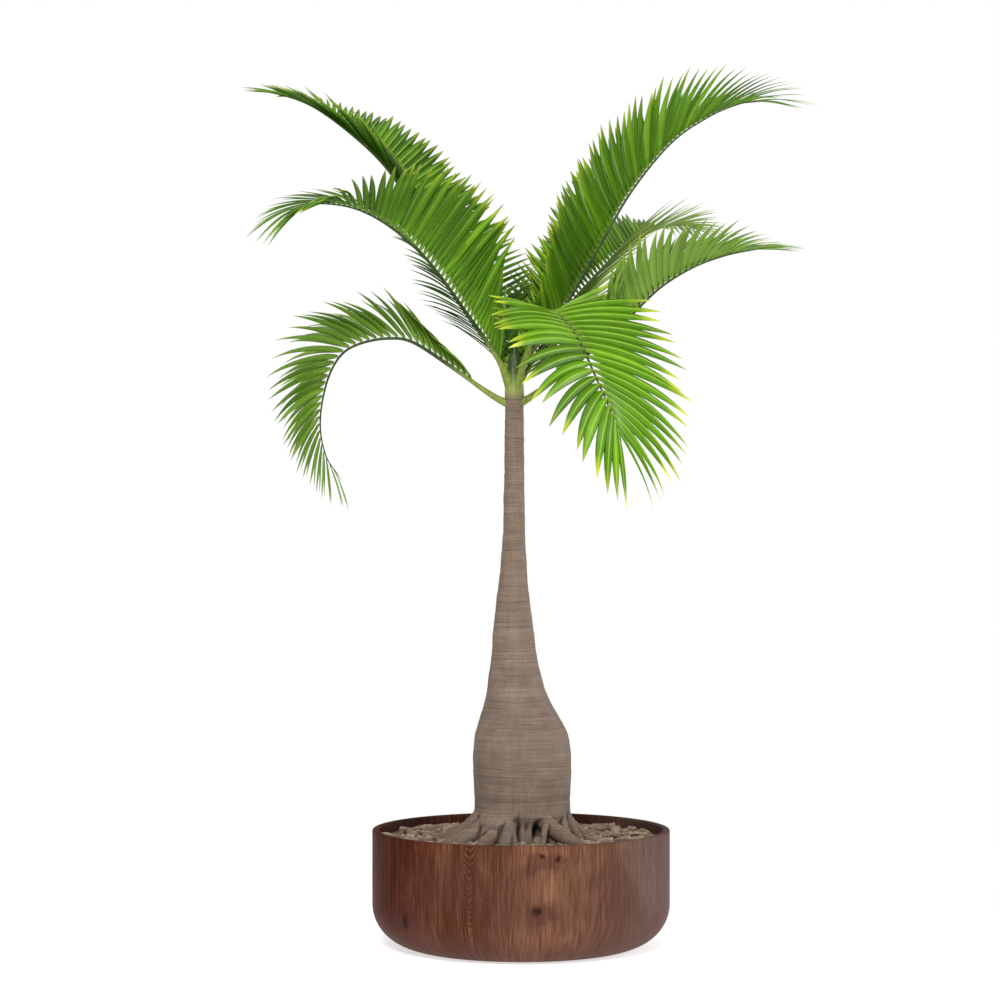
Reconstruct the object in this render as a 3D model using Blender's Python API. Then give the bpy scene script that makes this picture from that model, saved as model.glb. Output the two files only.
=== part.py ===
"""A potted bottle palm: a turned wooden bowl filled with potting mix, a bottle-shaped trunk
with surface roots, a short green crownshaft and seven arching feather fronds.

Metres, +Z up. The origin is the centre of the bowl's flat base, and -Y is the plant's front.
"""

import itertools
import math
from dataclasses import dataclass

import bmesh
import bpy
import numpy as np
from mathutils import Vector, noise
from mathutils.bvhtree import BVHTree

GAP = 0.0004  # clearance between pieces that touch on the real plant

# The bowl.
BOWL_RADIUS = 0.271
BOWL_HEIGHT = 0.213
BOWL_WALL = 0.013
BOWL_FLOOR = 0.016
BOWL_BEND = (0.086, 0.078)  # width and height of the rounded lower edge
RIM_ROUND = 0.003
BOWL_SIDES = 48

# The potting mix.
SOIL_TOP = 0.1970
SOIL_HEAP = 0.005  # rise towards the trunk
SOIL_LUMPS = ((28, 0.0045, 0.3), (60, 0.0022, 4.1))  # lumps per metre, height and noise layer
SOIL_RINGS = 7

# The trunk: height and radius of the bare stem, from its underside in the mix to the crown.
STEM_PROFILE = (
    (0.130, 0.052),
    (0.150, 0.072),
    (0.175, 0.083),
    (0.200, 0.086),
    (0.240, 0.0870),
    (0.270, 0.0872),
    (0.301, 0.0888),
    (0.340, 0.0898),
    (0.371, 0.0872),
    (0.392, 0.0825),
    (0.423, 0.0690),
    (0.458, 0.0555),
    (0.484, 0.0495),
    (0.529, 0.0415),
    (0.575, 0.0368),
    (0.620, 0.0318),
    (0.666, 0.0262),
    (0.712, 0.0228),
    (0.757, 0.0202),
    (0.812, 0.0192),
    (0.900, 0.0178),
    (0.994, 0.0170),
)
# The stem's axis wanders sideways: height and offset along X.
STEM_LEAN = (
    (0.130, 0.0025),
    (0.347, 0.0020),
    (0.392, 0.0),
    (0.438, -0.0055),
    (0.484, -0.0105),
    (0.529, -0.0125),
    (0.620, -0.0145),
    (0.712, -0.0130),
    (1.100, -0.0115),
)
TRUNK_TOP = 0.994
STEM_SIDES = 20
FLARE_TOP = 0.278
RING_SPACING = 0.036
RING_STEP = 0.0007
RING_LEDGE = 0.010  # height over which the stem steps in above each leaf scar
FLARE_HEIGHTS = (0.130, 0.150, 0.172, 0.184, 0.196, 0.201, 0.208, 0.219, 0.235, 0.256)

# Surface roots, one to each side of the stem: angle where the root leaves the stem, angle of
# its foot, reach of the foot beyond the stem, and half-width.
ROOTS = (
    (13, 12, 0.024, 0.0080),
    (29, 30, 0.040, 0.0065),
    (49, 47, 0.052, 0.0075),
    (64, 66, 0.030, 0.0070),
    (84, 83, 0.068, 0.0075),
    (100, 103, 0.046, 0.0065),
    (121, 119, 0.060, 0.0080),
    (137, 138, 0.074, 0.0070),
    (154, 157, 0.050, 0.0070),
    (171, 173, 0.064, 0.0065),
    (185, 191, 0.088, 0.0075),
    (204, 209, 0.070, 0.0065),
    (223, 227, 0.056, 0.0080),
    (248, 247, 0.058, 0.0070),
    (256, 263, 0.040, 0.0050),
    (272, 273, 0.020, 0.0055),
    (287, 281, 0.046, 0.0050),
    (296, 304, 0.062, 0.0070),
    (323, 329, 0.026, 0.0075),
    (350, 352, 0.014, 0.0080),
)
ROOT_FOOT = 0.196
ROOT_UNDERSIDE = 0.172
ROOT_DIVE = 2.1  # how sharply the roots bend outwards on their way down
ROOT_TUCK = 0.7  # how bluntly they end in the mix
ROOT_SETTLE = 0.45  # share of the flare's height in which the ring's corners reach the roots

# The crownshaft: height above the trunk and radius.
CROWN_PROFILE = (
    (0.0000, 0.0168),
    (0.0100, 0.0176),
    (0.0300, 0.0164),
    (0.0500, 0.0142),
    (0.0700, 0.0112),
    (0.0900, 0.0068),
    (0.1040, 0.0018),
)
CROWN_TIP = 0.001
NECK_BOTTOM = 0.92  # lowest height at which the stalks are trimmed clear of the trunk
CROWN_SIDES = 20

# The fronds. A leaflet has four corners on the midrib, two rings of ridge, front edge and back
# edge, and a tip.
SPINE_STEPS = 14  # straight pieces between two of a spine's points
SPINE_STEP = 0.006  # distance over which a spine's direction is measured
MIDRIB_TIP = 0.020  # length of the point past the last leaflets
STALK_STARTS = (0.0, 0.020, 0.045)  # distances of the stalk's first rings
STALK_NECK = 0.006  # distance from the stalk's last ring to the blade
STALK_TAPER = 0.35  # share of the blade where the midrib has thinned to its middle size
STALK_DEPTHS = (0.0080, 0.0070, 0.0046, 0.0030, 0.0010)  # half-depths from the crown to the tip
STALK_WIDTHS = (0.0048, 0.0030, 0.0010)  # half-widths at the blade's base, middle and tip
LEAFLET_PITCH = 0.0165
LEAFLET_WIDTH = 0.0125
LEAFLET_SPACE = 0.9  # share of the room between neighbours that a leaflet fills
LEAFLET_RIDGE = 0.0017
LEAFLET_BASE = 0.0036  # half-length of the base on the midrib
LEAFLET_DROOP = 0.14
LEAFLET_RINGS = ((0.22, 1.0), (0.62, 0.82))  # share of the length and of the width
LEAFLET_FACES = (
    (0, 1, 4),
    (1, 2, 5, 4),
    (2, 3, 6, 5),
    (3, 0, 4, 6),
    (4, 5, 8, 7),
    (5, 6, 9, 8),
    (6, 4, 7, 9),
    (7, 8, 10),
    (8, 9, 10),
    (9, 7, 10),
)
LEAFLET_EDGES = ((0, 4), (2, 5), (3, 6), (4, 7), (5, 8), (6, 9), (7, 10), (8, 10), (9, 10))
# A leaflet that would touch another frond is folded forward, lifted and then shortened.
CLEARANCE = 0.0025
FOLDS = (0.0, 0.12, 0.24)
LIFTS = (0, 12)
SHORTENINGS = (1.0, 0.85, 0.7, 0.55, 0.42)


@dataclass
class Frond:
    """One feather frond. Its spine is given as (reach, height) in the frond's upright plane."""

    name: str
    azimuth: float  # degrees from +X towards +Y
    spine: tuple
    leaflet: float = 0.170  # longest leaflet
    stalk: float = 0.080  # bare stalk below the first leaflet
    stalk_width: float = 0.0090  # half-width where the stalk leaves the crownshaft
    vee: tuple = (45, 45, 55)  # how far each rank leans off the upper side: base, middle, tip
    roll: tuple = (0, 0, 0)  # turn of the blade about the spine: base, middle, tip
    rake: tuple = (32, 54, 68, 60, 42, 18)  # leaflet angle off the spine, base to tip
    lengths: tuple = (0.75, 0.95, 1.0, 1.0, 0.92, 0.78, 0.55)  # share of the longest, base to tip


FRONDS = (
    Frond(
        "frond_left_front",
        210,
        (
            (0.004, 1.010),
            (0.034, 1.067),
            (0.094, 1.141),
            (0.173, 1.234),
            (0.248, 1.293),
            (0.323, 1.326),
            (0.397, 1.332),
            (0.443, 1.321),
        ),
        stalk_width=0.0125,
        stalk=0.070,
        leaflet=0.175,
        vee=(56, 54, 54, 58, 88),
        roll=(-34, -24, -8, 4, 10),
        rake=(32, 54, 66, 58, 40, 18),
        lengths=(0.75, 0.95, 1.0, 1.06, 1.0, 0.85, 0.72),
    ),
    Frond(
        "frond_front",
        297,
        (
            (0.004, 1.003),
            (0.030, 1.050),
            (0.080, 1.112),
            (0.120, 1.136),
            (0.155, 1.141),
            (0.200, 1.120),
            (0.250, 1.086),
            (0.300, 1.032),
            (0.350, 0.975),
            (0.388, 0.925),
        ),
        leaflet=0.188,
        stalk=0.070,
        vee=(60, 64, 70, 74, 76),
        roll=(0, 8, 12, 12, 8),
        rake=(50, 70, 78, 76, 62, 44, 20),
        lengths=(0.7, 0.9, 1.0, 1.0, 1.0, 0.93, 0.80),
    ),
    Frond(
        "frond_right_high",
        12,
        (
            (0.004, 1.040),
            (0.029, 1.078),
            (0.089, 1.159),
            (0.163, 1.284),
            (0.221, 1.381),
            (0.295, 1.470),
            (0.366, 1.520),
            (0.425, 1.546),
            (0.462, 1.552),
        ),
        leaflet=0.194,
        vee=(45, 45, 48, 55, 85),
        rake=(40, 54, 66, 60, 42, 18),
        lengths=(0.72, 0.86, 0.98, 1.0, 0.95, 0.78, 0.56),
    ),
    Frond(
        "frond_left_low",
        180,
        (
            (0.004, 0.983),
            (0.046, 1.007),
            (0.116, 1.056),
            (0.185, 1.100),
            (0.231, 1.107),
            (0.280, 1.098),
            (0.314, 1.079),
            (0.337, 1.042),
            (0.351, 0.990),
            (0.354, 0.938),
            (0.343, 0.890),
            (0.325, 0.862),
        ),
        leaflet=0.155,
        stalk=0.085,
        vee=(58, 52, 48, 48, 58),
        rake=(34, 46, 54, 60, 60, 40, 14),
        lengths=(0.75, 0.9, 1.05, 1.03, 0.78, 0.58, 0.36),
    ),
    Frond(
        "frond_right_low",
        348,
        (
            (0.004, 0.984),
            (0.056, 1.018),
            (0.139, 1.080),
            (0.207, 1.138),
            (0.267, 1.194),
            (0.327, 1.230),
            (0.387, 1.251),
            (0.447, 1.262),
        ),
        stalk=0.085,
        leaflet=0.158,
        vee=(60, 56, 54, 62, 88),
        rake=(24, 40, 58, 60, 42, 18),
        lengths=(1.0, 1.0, 1.0, 1.0, 0.92, 0.78, 0.55),
    ),
    Frond(
        "frond_left_back",
        140,
        (
            (0.004, 1.034),
            (0.054, 1.106),
            (0.112, 1.186),
            (0.181, 1.280),
            (0.251, 1.367),
            (0.320, 1.445),
            (0.400, 1.508),
            (0.500, 1.570),
            (0.590, 1.606),
        ),
        leaflet=0.172,
        vee=(58, 52, 60, 88),
        rake=(60, 72, 70, 58, 40, 18),
        lengths=(1.0, 0.91, 0.84, 0.92, 0.90, 0.78, 0.55),
    ),
    Frond(
        "frond_right_back",
        55,
        (
            (0.004, 1.010),
            (0.066, 1.075),
            (0.122, 1.122),
            (0.199, 1.190),
            (0.300, 1.255),
            (0.410, 1.313),
            (0.502, 1.347),
            (0.590, 1.360),
            (0.645, 1.356),
        ),
        stalk_width=0.0080,
        leaflet=0.175,
        vee=(42, 42, 48, 80, 110),
    ),
)


def clear_scene():
    """Removes whatever the file opens with."""
    for obj in list(bpy.data.objects):
        bpy.data.objects.remove(obj)


def finish(name, color, roughness):
    """A plain material with the piece's own colour."""
    material = bpy.data.materials.new(name)
    material.use_nodes = True
    shader = material.node_tree.nodes["Principled BSDF"]
    shader.inputs["Base Color"].default_value = (*color, 1.0)
    shader.inputs["Roughness"].default_value = roughness
    shader.inputs["Metallic"].default_value = 0.0
    return material


def add_object(name, bm, material):
    """Turns a bmesh into a linked object with smooth round faces."""
    bmesh.ops.recalc_face_normals(bm, faces=bm.faces)
    mesh = bpy.data.meshes.new(name)
    bm.to_mesh(mesh)
    bm.free()
    mesh.shade_smooth()
    mesh.set_sharp_from_angle(angle=math.radians(35))
    obj = bpy.data.objects.new(name, mesh)
    bpy.context.scene.collection.objects.link(obj)
    if material:
        obj.data.materials.append(material)
    return obj


def make_cutter(obj):
    """Marks an object as a shape that only cuts others."""
    obj.hide_render = True
    obj.display_type = "WIRE"
    return obj


def cut(obj, cutter):
    """Subtracts a cutter from an object."""
    modifier = obj.modifiers.new("cut", "BOOLEAN")
    modifier.operation = "DIFFERENCE"
    modifier.solver = "EXACT"
    modifier.object = cutter


def arc(centre, radii, start, end, count):
    """Points of an elliptical arc in the (radius, height) plane, angles in degrees."""
    angles = [math.radians(start + (end - start) * i / count) for i in range(count + 1)]
    return [(centre[0] + radii[0] * math.cos(a), centre[1] + radii[1] * math.sin(a)) for a in angles]


def circle(bm, radius, height, sides, axis_x=0.0):
    """A ring of vertices. height is a number, or a function of x and y."""
    ring = []
    for i in range(sides):
        a = math.tau * i / sides
        x, y = radius * math.cos(a), radius * math.sin(a)
        z = height(x, y) if callable(height) else height
        ring.append(bm.verts.new((axis_x + x, y, z)))
    return ring


def skin(bm, low, high):
    """Two triangles for each pair of neighbours on two rings of the same size."""
    for i in range(len(low)):
        j = (i + 1) % len(low)
        bm.faces.new((low[i], low[j], high[j]))
        bm.faces.new((low[i], high[j], high[i]))


def cap(bm, ring, centre):
    """Closes a ring with triangles that meet at a point."""
    middle = bm.verts.new(centre)
    for i in range(len(ring)):
        bm.faces.new((ring[i], ring[(i + 1) % len(ring)], middle))


def turn(bm, profile, sides, axis_x=0.0):
    """Turns a (radius, height) profile, whose two ends lie on the axis, into a closed body."""
    rings = [circle(bm, r, z, sides, axis_x) for r, z in profile[1:-1]]
    for low, high in zip(rings, rings[1:]):
        skin(bm, low, high)
    cap(bm, rings[0], (axis_x, 0, profile[0][1]))
    cap(bm, rings[-1], (axis_x, 0, profile[-1][1]))


def bowl_inside(inset):
    """The bowl's inner outline from the floor's centre to the wall, moved inwards by inset."""
    wall = BOWL_RADIUS - BOWL_WALL - inset
    floor = BOWL_FLOOR + inset
    bend = (BOWL_BEND[0] - BOWL_WALL, BOWL_BEND[1] - BOWL_FLOOR)
    corner = arc((wall - bend[0], floor + bend[1]), bend, -90, 0, 3)
    return [(0.0, floor), *corner]


def build_bowl(material):
    """The turned bowl: a flat foot, a rounded lower edge, an upright wall and a soft rim."""
    outer = [(0.0, 0.0), *arc((BOWL_RADIUS - BOWL_BEND[0], BOWL_BEND[1]), BOWL_BEND, -90, 0, 6)]
    rim = (RIM_ROUND, RIM_ROUND)
    rim_height = BOWL_HEIGHT - RIM_ROUND
    outer_rim = arc((BOWL_RADIUS - RIM_ROUND, rim_height), rim, 0, 90, 2)
    inner_rim = arc((BOWL_RADIUS - BOWL_WALL + RIM_ROUND, rim_height), rim, 90, 180, 2)
    inner = bowl_inside(0.0)
    bm = bmesh.new()
    turn(bm, outer + outer_rim + inner_rim + inner[::-1], BOWL_SIDES)
    return add_object("bowl", bm, material)


def soil_height(x, y):
    """The potting mix heaps up a little towards the trunk and is lumpy all over."""
    heap = SOIL_HEAP * max(0.0, 1 - math.hypot(x, y) / BOWL_RADIUS)
    lumps = sum(rise * noise.noise(Vector((x * per, y * per, layer))) for per, rise, layer in SOIL_LUMPS)
    return SOIL_TOP + heap + lumps


def build_soil(material, trunk_cutter):
    """The mix fills the bowl and leaves a plain hole for the foot of the trunk."""
    outline = bowl_inside(GAP)
    wall = outline[-1][0]
    bm = bmesh.new()
    rings = [circle(bm, r, z, BOWL_SIDES) for r, z in outline[1:]]
    for k in range(SOIL_RINGS):
        rings.append(circle(bm, wall * (1 - k / SOIL_RINGS), soil_height, BOWL_SIDES))
    for low, high in zip(rings, rings[1:]):
        skin(bm, low, high)
    cap(bm, rings[0], (0, 0, outline[0][1]))
    cap(bm, rings[-1], (0, 0, soil_height(0, 0)))
    soil = add_object("soil", bm, material)
    cut(soil, trunk_cutter)


def smooth_value(table, z):
    """Reads a table of (height, value) along a smooth curve."""
    heights = [row[0] for row in table]
    i = min(max(int(np.searchsorted(heights, z)) - 1, 0), len(table) - 2)
    z0, v0 = table[i]
    z1, v1 = table[i + 1]
    before = table[max(i - 1, 0)]
    after = table[min(i + 2, len(table) - 1)]
    slope0 = (v1 - before[1]) / (z1 - before[0])
    slope1 = (after[1] - v0) / (after[0] - z0)
    t = min(max((z - z0) / (z1 - z0), 0.0), 1.0)
    span = z1 - z0
    return (
        v0 * (2 * t**3 - 3 * t**2 + 1)
        + v1 * (3 * t**2 - 2 * t**3)
        + span * slope0 * (t**3 - 2 * t**2 + t)
        + span * slope1 * (t**3 - t**2)
    )


def smooth_step(t):
    """Eases from 0 to 1."""
    t = min(max(t, 0.0), 1.0)
    return t * t * (3 - 2 * t)


def flare_ring(bm, z):
    """One ring of the root flare: for each root the valley before it and its two shoulders.
    The ring is even where the flare starts and follows the roots further down."""
    lean = smooth_value(STEM_LEAN, z)
    radius = smooth_value(STEM_PROFILE, z)
    down = min((FLARE_TOP - z) / (FLARE_TOP - ROOT_FOOT), 1.0)
    under = max((z - ROOT_UNDERSIDE) / (ROOT_FOOT - ROOT_UNDERSIDE), 0.0)
    share = down**ROOT_DIVE if z >= ROOT_FOOT else under**ROOT_TUCK
    shoulders = []
    for start, foot, reach, half_width in ROOTS:
        r = radius + reach * share
        middle = start + (foot - start) * down
        half = math.degrees(half_width / r)
        shoulders.append((middle - half, middle + half, r))
    follow = smooth_step(down / ROOT_SETTLE)
    ring = []
    for k, (left, right, r) in enumerate(shoulders):
        before = shoulders[k - 1][1] - (0 if k else 360)
        for n, (own, out) in enumerate((((before + left) / 2, radius), (left, r), (right, r))):
            a = math.radians((k + n / 3) * 360 / STEM_SIDES * (1 - follow) + own * follow)
            ring.append(bm.verts.new((lean + out * math.cos(a), out * math.sin(a), z)))
    return ring


def trunk_rings():
    """The heights and the small steps of the trunk's leaf scars above the root flare."""
    rows = []
    z = FLARE_TOP
    while z < TRUNK_TOP - RING_SPACING:
        rows.append((z, RING_STEP))
        rows.append((z + RING_LEDGE, -RING_STEP))
        z += RING_SPACING
    rows.append((TRUNK_TOP, 0.0))
    return rows


def stem_ring(bm, z, step):
    """One ring of the stem above the root flare."""
    return circle(bm, smooth_value(STEM_PROFILE, z) + step, z, STEM_SIDES, smooth_value(STEM_LEAN, z))


def trunk_mesh(grow):
    """The trunk in one body, from the plug in the mix to the crown, grown outwards by grow."""
    bm = bmesh.new()
    flare = [flare_ring(bm, z) for z in FLARE_HEIGHTS]
    stem = [stem_ring(bm, z, step) for z, step in trunk_rings()]
    for rings in (flare, stem):
        for low, high in zip(rings, rings[1:]):
            skin(bm, low, high)
    many, few = flare[-1], stem[0]
    for i in range(STEM_SIDES):
        a, b, c, d = (many[(3 * i + k) % len(many)] for k in range(4))
        after = few[(i + 1) % STEM_SIDES]
        bm.faces.new((a, b, few[i]))
        bm.faces.new((b, c, few[i]))
        bm.faces.new((c, after, few[i]))
        bm.faces.new((c, d, after))
    bm.faces.new(flare[0][::-1])
    bm.faces.new(stem[-1])
    bm.normal_update()
    normals = [v.normal.copy() for v in bm.verts]
    for v, normal in zip(bm.verts, normals):
        v.co += normal * grow
    return bm


def crown_outline(grow):
    """The crownshaft's (radius, height) outline, closed on the axis at both ends."""
    outline = [(r + grow, TRUNK_TOP + GAP + h) for h, r in CROWN_PROFILE]
    return [(0.0, outline[0][1]), *outline, (0.0, outline[-1][1] + CROWN_TIP + grow)]


def build_crown(material):
    """The short green shaft of rolled leaf bases that the fronds spring from."""
    bm = bmesh.new()
    turn(bm, crown_outline(0.0), CROWN_SIDES, smooth_value(STEM_LEAN, TRUNK_TOP))
    return add_object("crownshaft", bm, material)


def build_crown_cutter():
    """The crownshaft and the neck below it, grown by the gap, which trims the frond stalks."""
    neck_radius = smooth_value(STEM_PROFILE, TRUNK_TOP) + RING_STEP + GAP
    neck = [(0.0, NECK_BOTTOM), (neck_radius, NECK_BOTTOM), (neck_radius, TRUNK_TOP)]
    bm = bmesh.new()
    turn(bm, [*neck, *crown_outline(GAP)[1:]], CROWN_SIDES, smooth_value(STEM_LEAN, TRUNK_TOP))
    return make_cutter(add_object("crown_cutter", bm, None))


class Spine:
    """A smooth line through a frond's points, with a frame that the blade is built on."""

    def __init__(self, frond):
        self.frond = frond
        a = math.radians(frond.azimuth)
        outward = Vector((math.cos(a), math.sin(a), 0))
        self.side = Vector((-math.sin(a), math.cos(a), 0))
        axis = Vector((smooth_value(STEM_LEAN, TRUNK_TOP), 0, 0))
        self.line = smooth_line([axis + outward * r + Vector((0, 0, z)) for r, z in frond.spine])
        steps = [(q - p).length for p, q in zip(self.line, self.line[1:])]
        self.distances = np.concatenate([[0.0], np.cumsum(steps)])
        self.length = float(self.distances[-1])

    def point(self, distance):
        """The point at a distance along the spine."""
        return Vector([float(np.interp(distance, self.distances, c)) for c in zip(*self.line)])

    def frame(self, distance):
        """Point, forward, left and upper directions at a distance, with the blade's roll."""
        ahead = self.point(min(distance + SPINE_STEP, self.length))
        behind = self.point(max(distance - SPINE_STEP, 0.0))
        forward = (ahead - behind).normalized()
        left = (self.side - self.side.dot(forward) * forward).normalized()
        upper = forward.cross(left)
        roll = math.radians(interpolate(self.frond.roll, self.blade_share(distance)))
        rolled_left = left * math.cos(roll) - upper * math.sin(roll)
        rolled_upper = upper * math.cos(roll) + left * math.sin(roll)
        return self.point(distance), forward, rolled_left, rolled_upper

    def blade_share(self, distance):
        """0 at the first leaflet and 1 at the tip."""
        return min(max((distance - self.frond.stalk) / (self.length - self.frond.stalk), 0.0), 1.0)


def smooth_line(points):
    """A Catmull-Rom curve through the points."""
    padded = [2 * points[0] - points[1], *points, 2 * points[-1] - points[-2]]
    line = []
    for p0, p1, p2, p3 in zip(padded, padded[1:], padded[2:], padded[3:]):
        bend = 2 * p0 - 5 * p1 + 4 * p2 - p3
        twist = 3 * p1 - 3 * p2 + p3 - p0
        for t in np.linspace(0, 1, SPINE_STEPS, endpoint=False):
            line.append(p1 + ((p2 - p0) * t + bend * t**2 + twist * t**3) / 2)
    return [*line, points[-1]]


def interpolate(values, share):
    """Reads evenly spaced values at a share from 0 to 1."""
    return float(np.interp(share, np.linspace(0, 1, len(values)), values))


def stalk_size(spine, distance):
    """Half-width and half-depth of the stalk and midrib."""
    start, end = spine.frond.stalk, spine.length
    knots = (0.0, start / 3, start, start + STALK_TAPER * (end - start), end)
    widths = (spine.frond.stalk_width, 0.8 * spine.frond.stalk_width, *STALK_WIDTHS)
    return float(np.interp(distance, knots, widths)), float(np.interp(distance, knots, STALK_DEPTHS))


def leaflet_stations(spine):
    """The distances of the leaflet pairs along the spine."""
    room = spine.length - spine.frond.stalk
    count = int(room / LEAFLET_PITCH)
    return [spine.frond.stalk + room * (k + 0.5) / count for k in range(count)]


def stalk_distances(spine):
    """Ring distances along the stalk and midrib: two to each leaflet pair, at its base."""
    bases = [s + d for s in leaflet_stations(spine) for d in (-LEAFLET_BASE, LEAFLET_BASE)]
    return [*STALK_STARTS, spine.frond.stalk - STALK_NECK, *bases]


def stalk_ring(spine, distance):
    """Ridge, left edge, keel and right edge of the midrib."""
    here, _, left, upper = spine.frame(distance)
    width, depth = stalk_size(spine, distance)
    return [here + upper * depth, here + left * width, here - upper * depth, here - left * width]


def leaflet_points(spine, distance, side, fold=0.0, lift=0, shorten=1.0):
    """The points of the leaflet on one side (1 is left, -1 is right), in the order that
    LEAFLET_FACES counts them."""
    frond = spine.frond
    share = spine.blade_share(distance)
    here, forward, left, upper = spine.frame(distance)
    vee = math.radians(interpolate(frond.vee, share) - lift)
    rake = math.radians(interpolate(frond.rake, share) * (1 - fold))
    spread = upper * math.cos(vee) + left * side * math.sin(vee)
    out = spread * math.sin(rake) + forward * math.cos(rake)
    inner = upper * math.sin(vee) - left * side * math.cos(vee)
    length = shorten * frond.leaflet * interpolate(frond.lengths, share)
    room = LEAFLET_SPACE * LEAFLET_PITCH * math.sin(rake)
    width = min(LEAFLET_WIDTH, max(room, LEAFLET_WIDTH / 3))
    sag = LEAFLET_DROOP * (Vector((0, 0, -1)) + out * out.z)
    root = here + (upper + left * side) * 0.5 * stalk_size(spine, distance)[0]

    def ring(along, width_share):
        direction = (out + sag * (2 * along)).normalized()
        edge = (forward - forward.dot(direction) * direction).normalized()
        face = direction.cross(edge)
        face *= math.copysign(LEAFLET_RIDGE * (0.4 + 0.6 * width_share), face.dot(inner))
        middle = root + length * (out * along + sag * along**2)
        half = edge * 0.5 * width * width_share
        return [middle + face, middle + half, middle - half]

    back = stalk_ring(spine, distance - LEAFLET_BASE)
    front = stalk_ring(spine, distance + LEAFLET_BASE)
    edge = 1 if side == 1 else 3
    base = [back[0], front[0], front[edge], back[edge]]
    return base + [point for spot in LEAFLET_RINGS for point in ring(*spot)] + ring(1.0, 0.0)[:1]


def is_clear(points, others, own):
    """True if a leaflet crosses no other frond and none of its own frond's leaflets."""
    tree = BVHTree.FromPolygons(points, LEAFLET_FACES)
    if any(tree.overlap(other) for other in (*others, own) if other):
        return False
    for a, b in LEAFLET_EDGES:
        for t in (0.0, 0.25, 0.5, 0.75, 1.0):
            spot = points[a].lerp(points[b], t)
            if any(other.find_nearest(spot, CLEARANCE)[0] for other in others):
                return False
    return True


def midrib_tree(spine):
    """A search tree of a frond's stalk and midrib."""
    rings = [stalk_ring(spine, distance) for distance in stalk_distances(spine)]
    faces = [
        (4 * k + i, 4 * k + (i + 1) % 4, 4 * k + 4 + (i + 1) % 4, 4 * k + 4 + i)
        for k in range(len(rings) - 1)
        for i in range(4)
    ]
    return BVHTree.FromPolygons([v for ring in rings for v in ring], faces)


def grow_leaflets(spine, others):
    """The frond's leaflets, each clear of what is already there. Returns
    {(distance, side): points} and the search tree of all of them."""
    leaflets, verts, faces, own = {}, [], [], None
    choices = list(itertools.product(SHORTENINGS, LIFTS, FOLDS))
    for distance, side in itertools.product(leaflet_stations(spine), (1, -1)):
        for shorten, lift, fold in choices:
            points = leaflet_points(spine, distance, side, fold, lift, shorten)
            if is_clear(points, others, own):
                leaflets[(distance, side)] = points
                faces += [tuple(len(verts) + i for i in face) for face in LEAFLET_FACES]
                verts += points
                own = BVHTree.FromPolygons(verts, faces)
                break
    return leaflets, own


def frond_mesh(spine, leaflets):
    """Stalk, midrib and leaflets as one closed skin: each leaflet grows out of the face that
    its base covers on the midrib."""
    bm = bmesh.new()
    rings = [[bm.verts.new(v) for v in stalk_ring(spine, d)] for d in stalk_distances(spine)]
    stations = leaflet_stations(spine)
    bare = len(rings) - 2 * len(stations)
    bm.faces.new(rings[0])
    for k in range(len(rings) - 1):
        back, front = rings[k], rings[k + 1]
        pair, past_base = divmod(k - bare, 2)
        for edge, keel, side in ((1, 2, 1), (3, 2, -1)):
            bm.faces.new((back[edge], front[edge], front[keel], back[keel]))
            base = (back[0], front[0], front[edge], back[edge])
            leaflet = None if k < bare or past_base else leaflets.get((stations[pair], side))
            if leaflet:
                add_leaflet(bm, base, leaflet)
            else:
                bm.faces.new(base)
    end, forward, _, _ = spine.frame(spine.length)
    cap(bm, rings[-1], end + forward * MIDRIB_TIP)
    return bm


def add_leaflet(bm, base, points):
    """Joins a leaflet to the four corners of its base on the midrib."""
    verts = [*base, *(bm.verts.new(point) for point in points[4:])]
    for face in LEAFLET_FACES:
        bm.faces.new([verts[i] for i in face])


def build_fronds(material, cutter):
    """All fronds. Each one's leaflets keep clear of every midrib and of the fronds before it."""
    spines = [Spine(frond) for frond in FRONDS]
    midribs = [midrib_tree(spine) for spine in spines]
    crown = BVHTree.FromObject(cutter, bpy.context.evaluated_depsgraph_get())
    blades = []
    for k, spine in enumerate(spines):
        others = [crown, *midribs[:k], *midribs[k + 1 :], *blades]
        leaflets, tree = grow_leaflets(spine, others)
        blades.append(tree)
        frond = add_object(spine.frond.name, frond_mesh(spine, leaflets), material)
        cut(frond, cutter)


def main():
    clear_scene()
    walnut = finish("walnut", (0.16, 0.055, 0.028), 0.4)
    mix = finish("potting_mix", (0.19, 0.13, 0.09), 0.95)
    bark = finish("palm_bark", (0.26, 0.20, 0.15), 0.85)
    sheath = finish("leaf_sheath", (0.25, 0.34, 0.08), 0.5)
    leaf = finish("palm_leaf", (0.09, 0.22, 0.02), 0.45)
    build_bowl(walnut)
    add_object("trunk", trunk_mesh(0.0), bark)
    trunk_cutter = make_cutter(add_object("trunk_cutter", trunk_mesh(GAP), None))
    build_soil(mix, trunk_cutter)
    build_crown(sheath)
    crown_cutter = build_crown_cutter()
    bpy.context.view_layer.update()
    build_fronds(leaf, crown_cutter)


main()
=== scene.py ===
"""The looks of the potted bottle palm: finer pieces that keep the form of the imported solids,
procedural materials, soft studio light and the camera of the photograph.

Metres, +Z up. The origin is the centre of the bowl's flat base, and -Y is the plant's front.
The sizes of the bowl, the stem and the crownshaft and the fronds' spines repeat those of the
solids.
"""

import itertools
import math
import random
from dataclasses import dataclass

import bmesh
import bpy
import numpy as np
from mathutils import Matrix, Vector, noise
from mathutils.bvhtree import BVHTree


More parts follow.
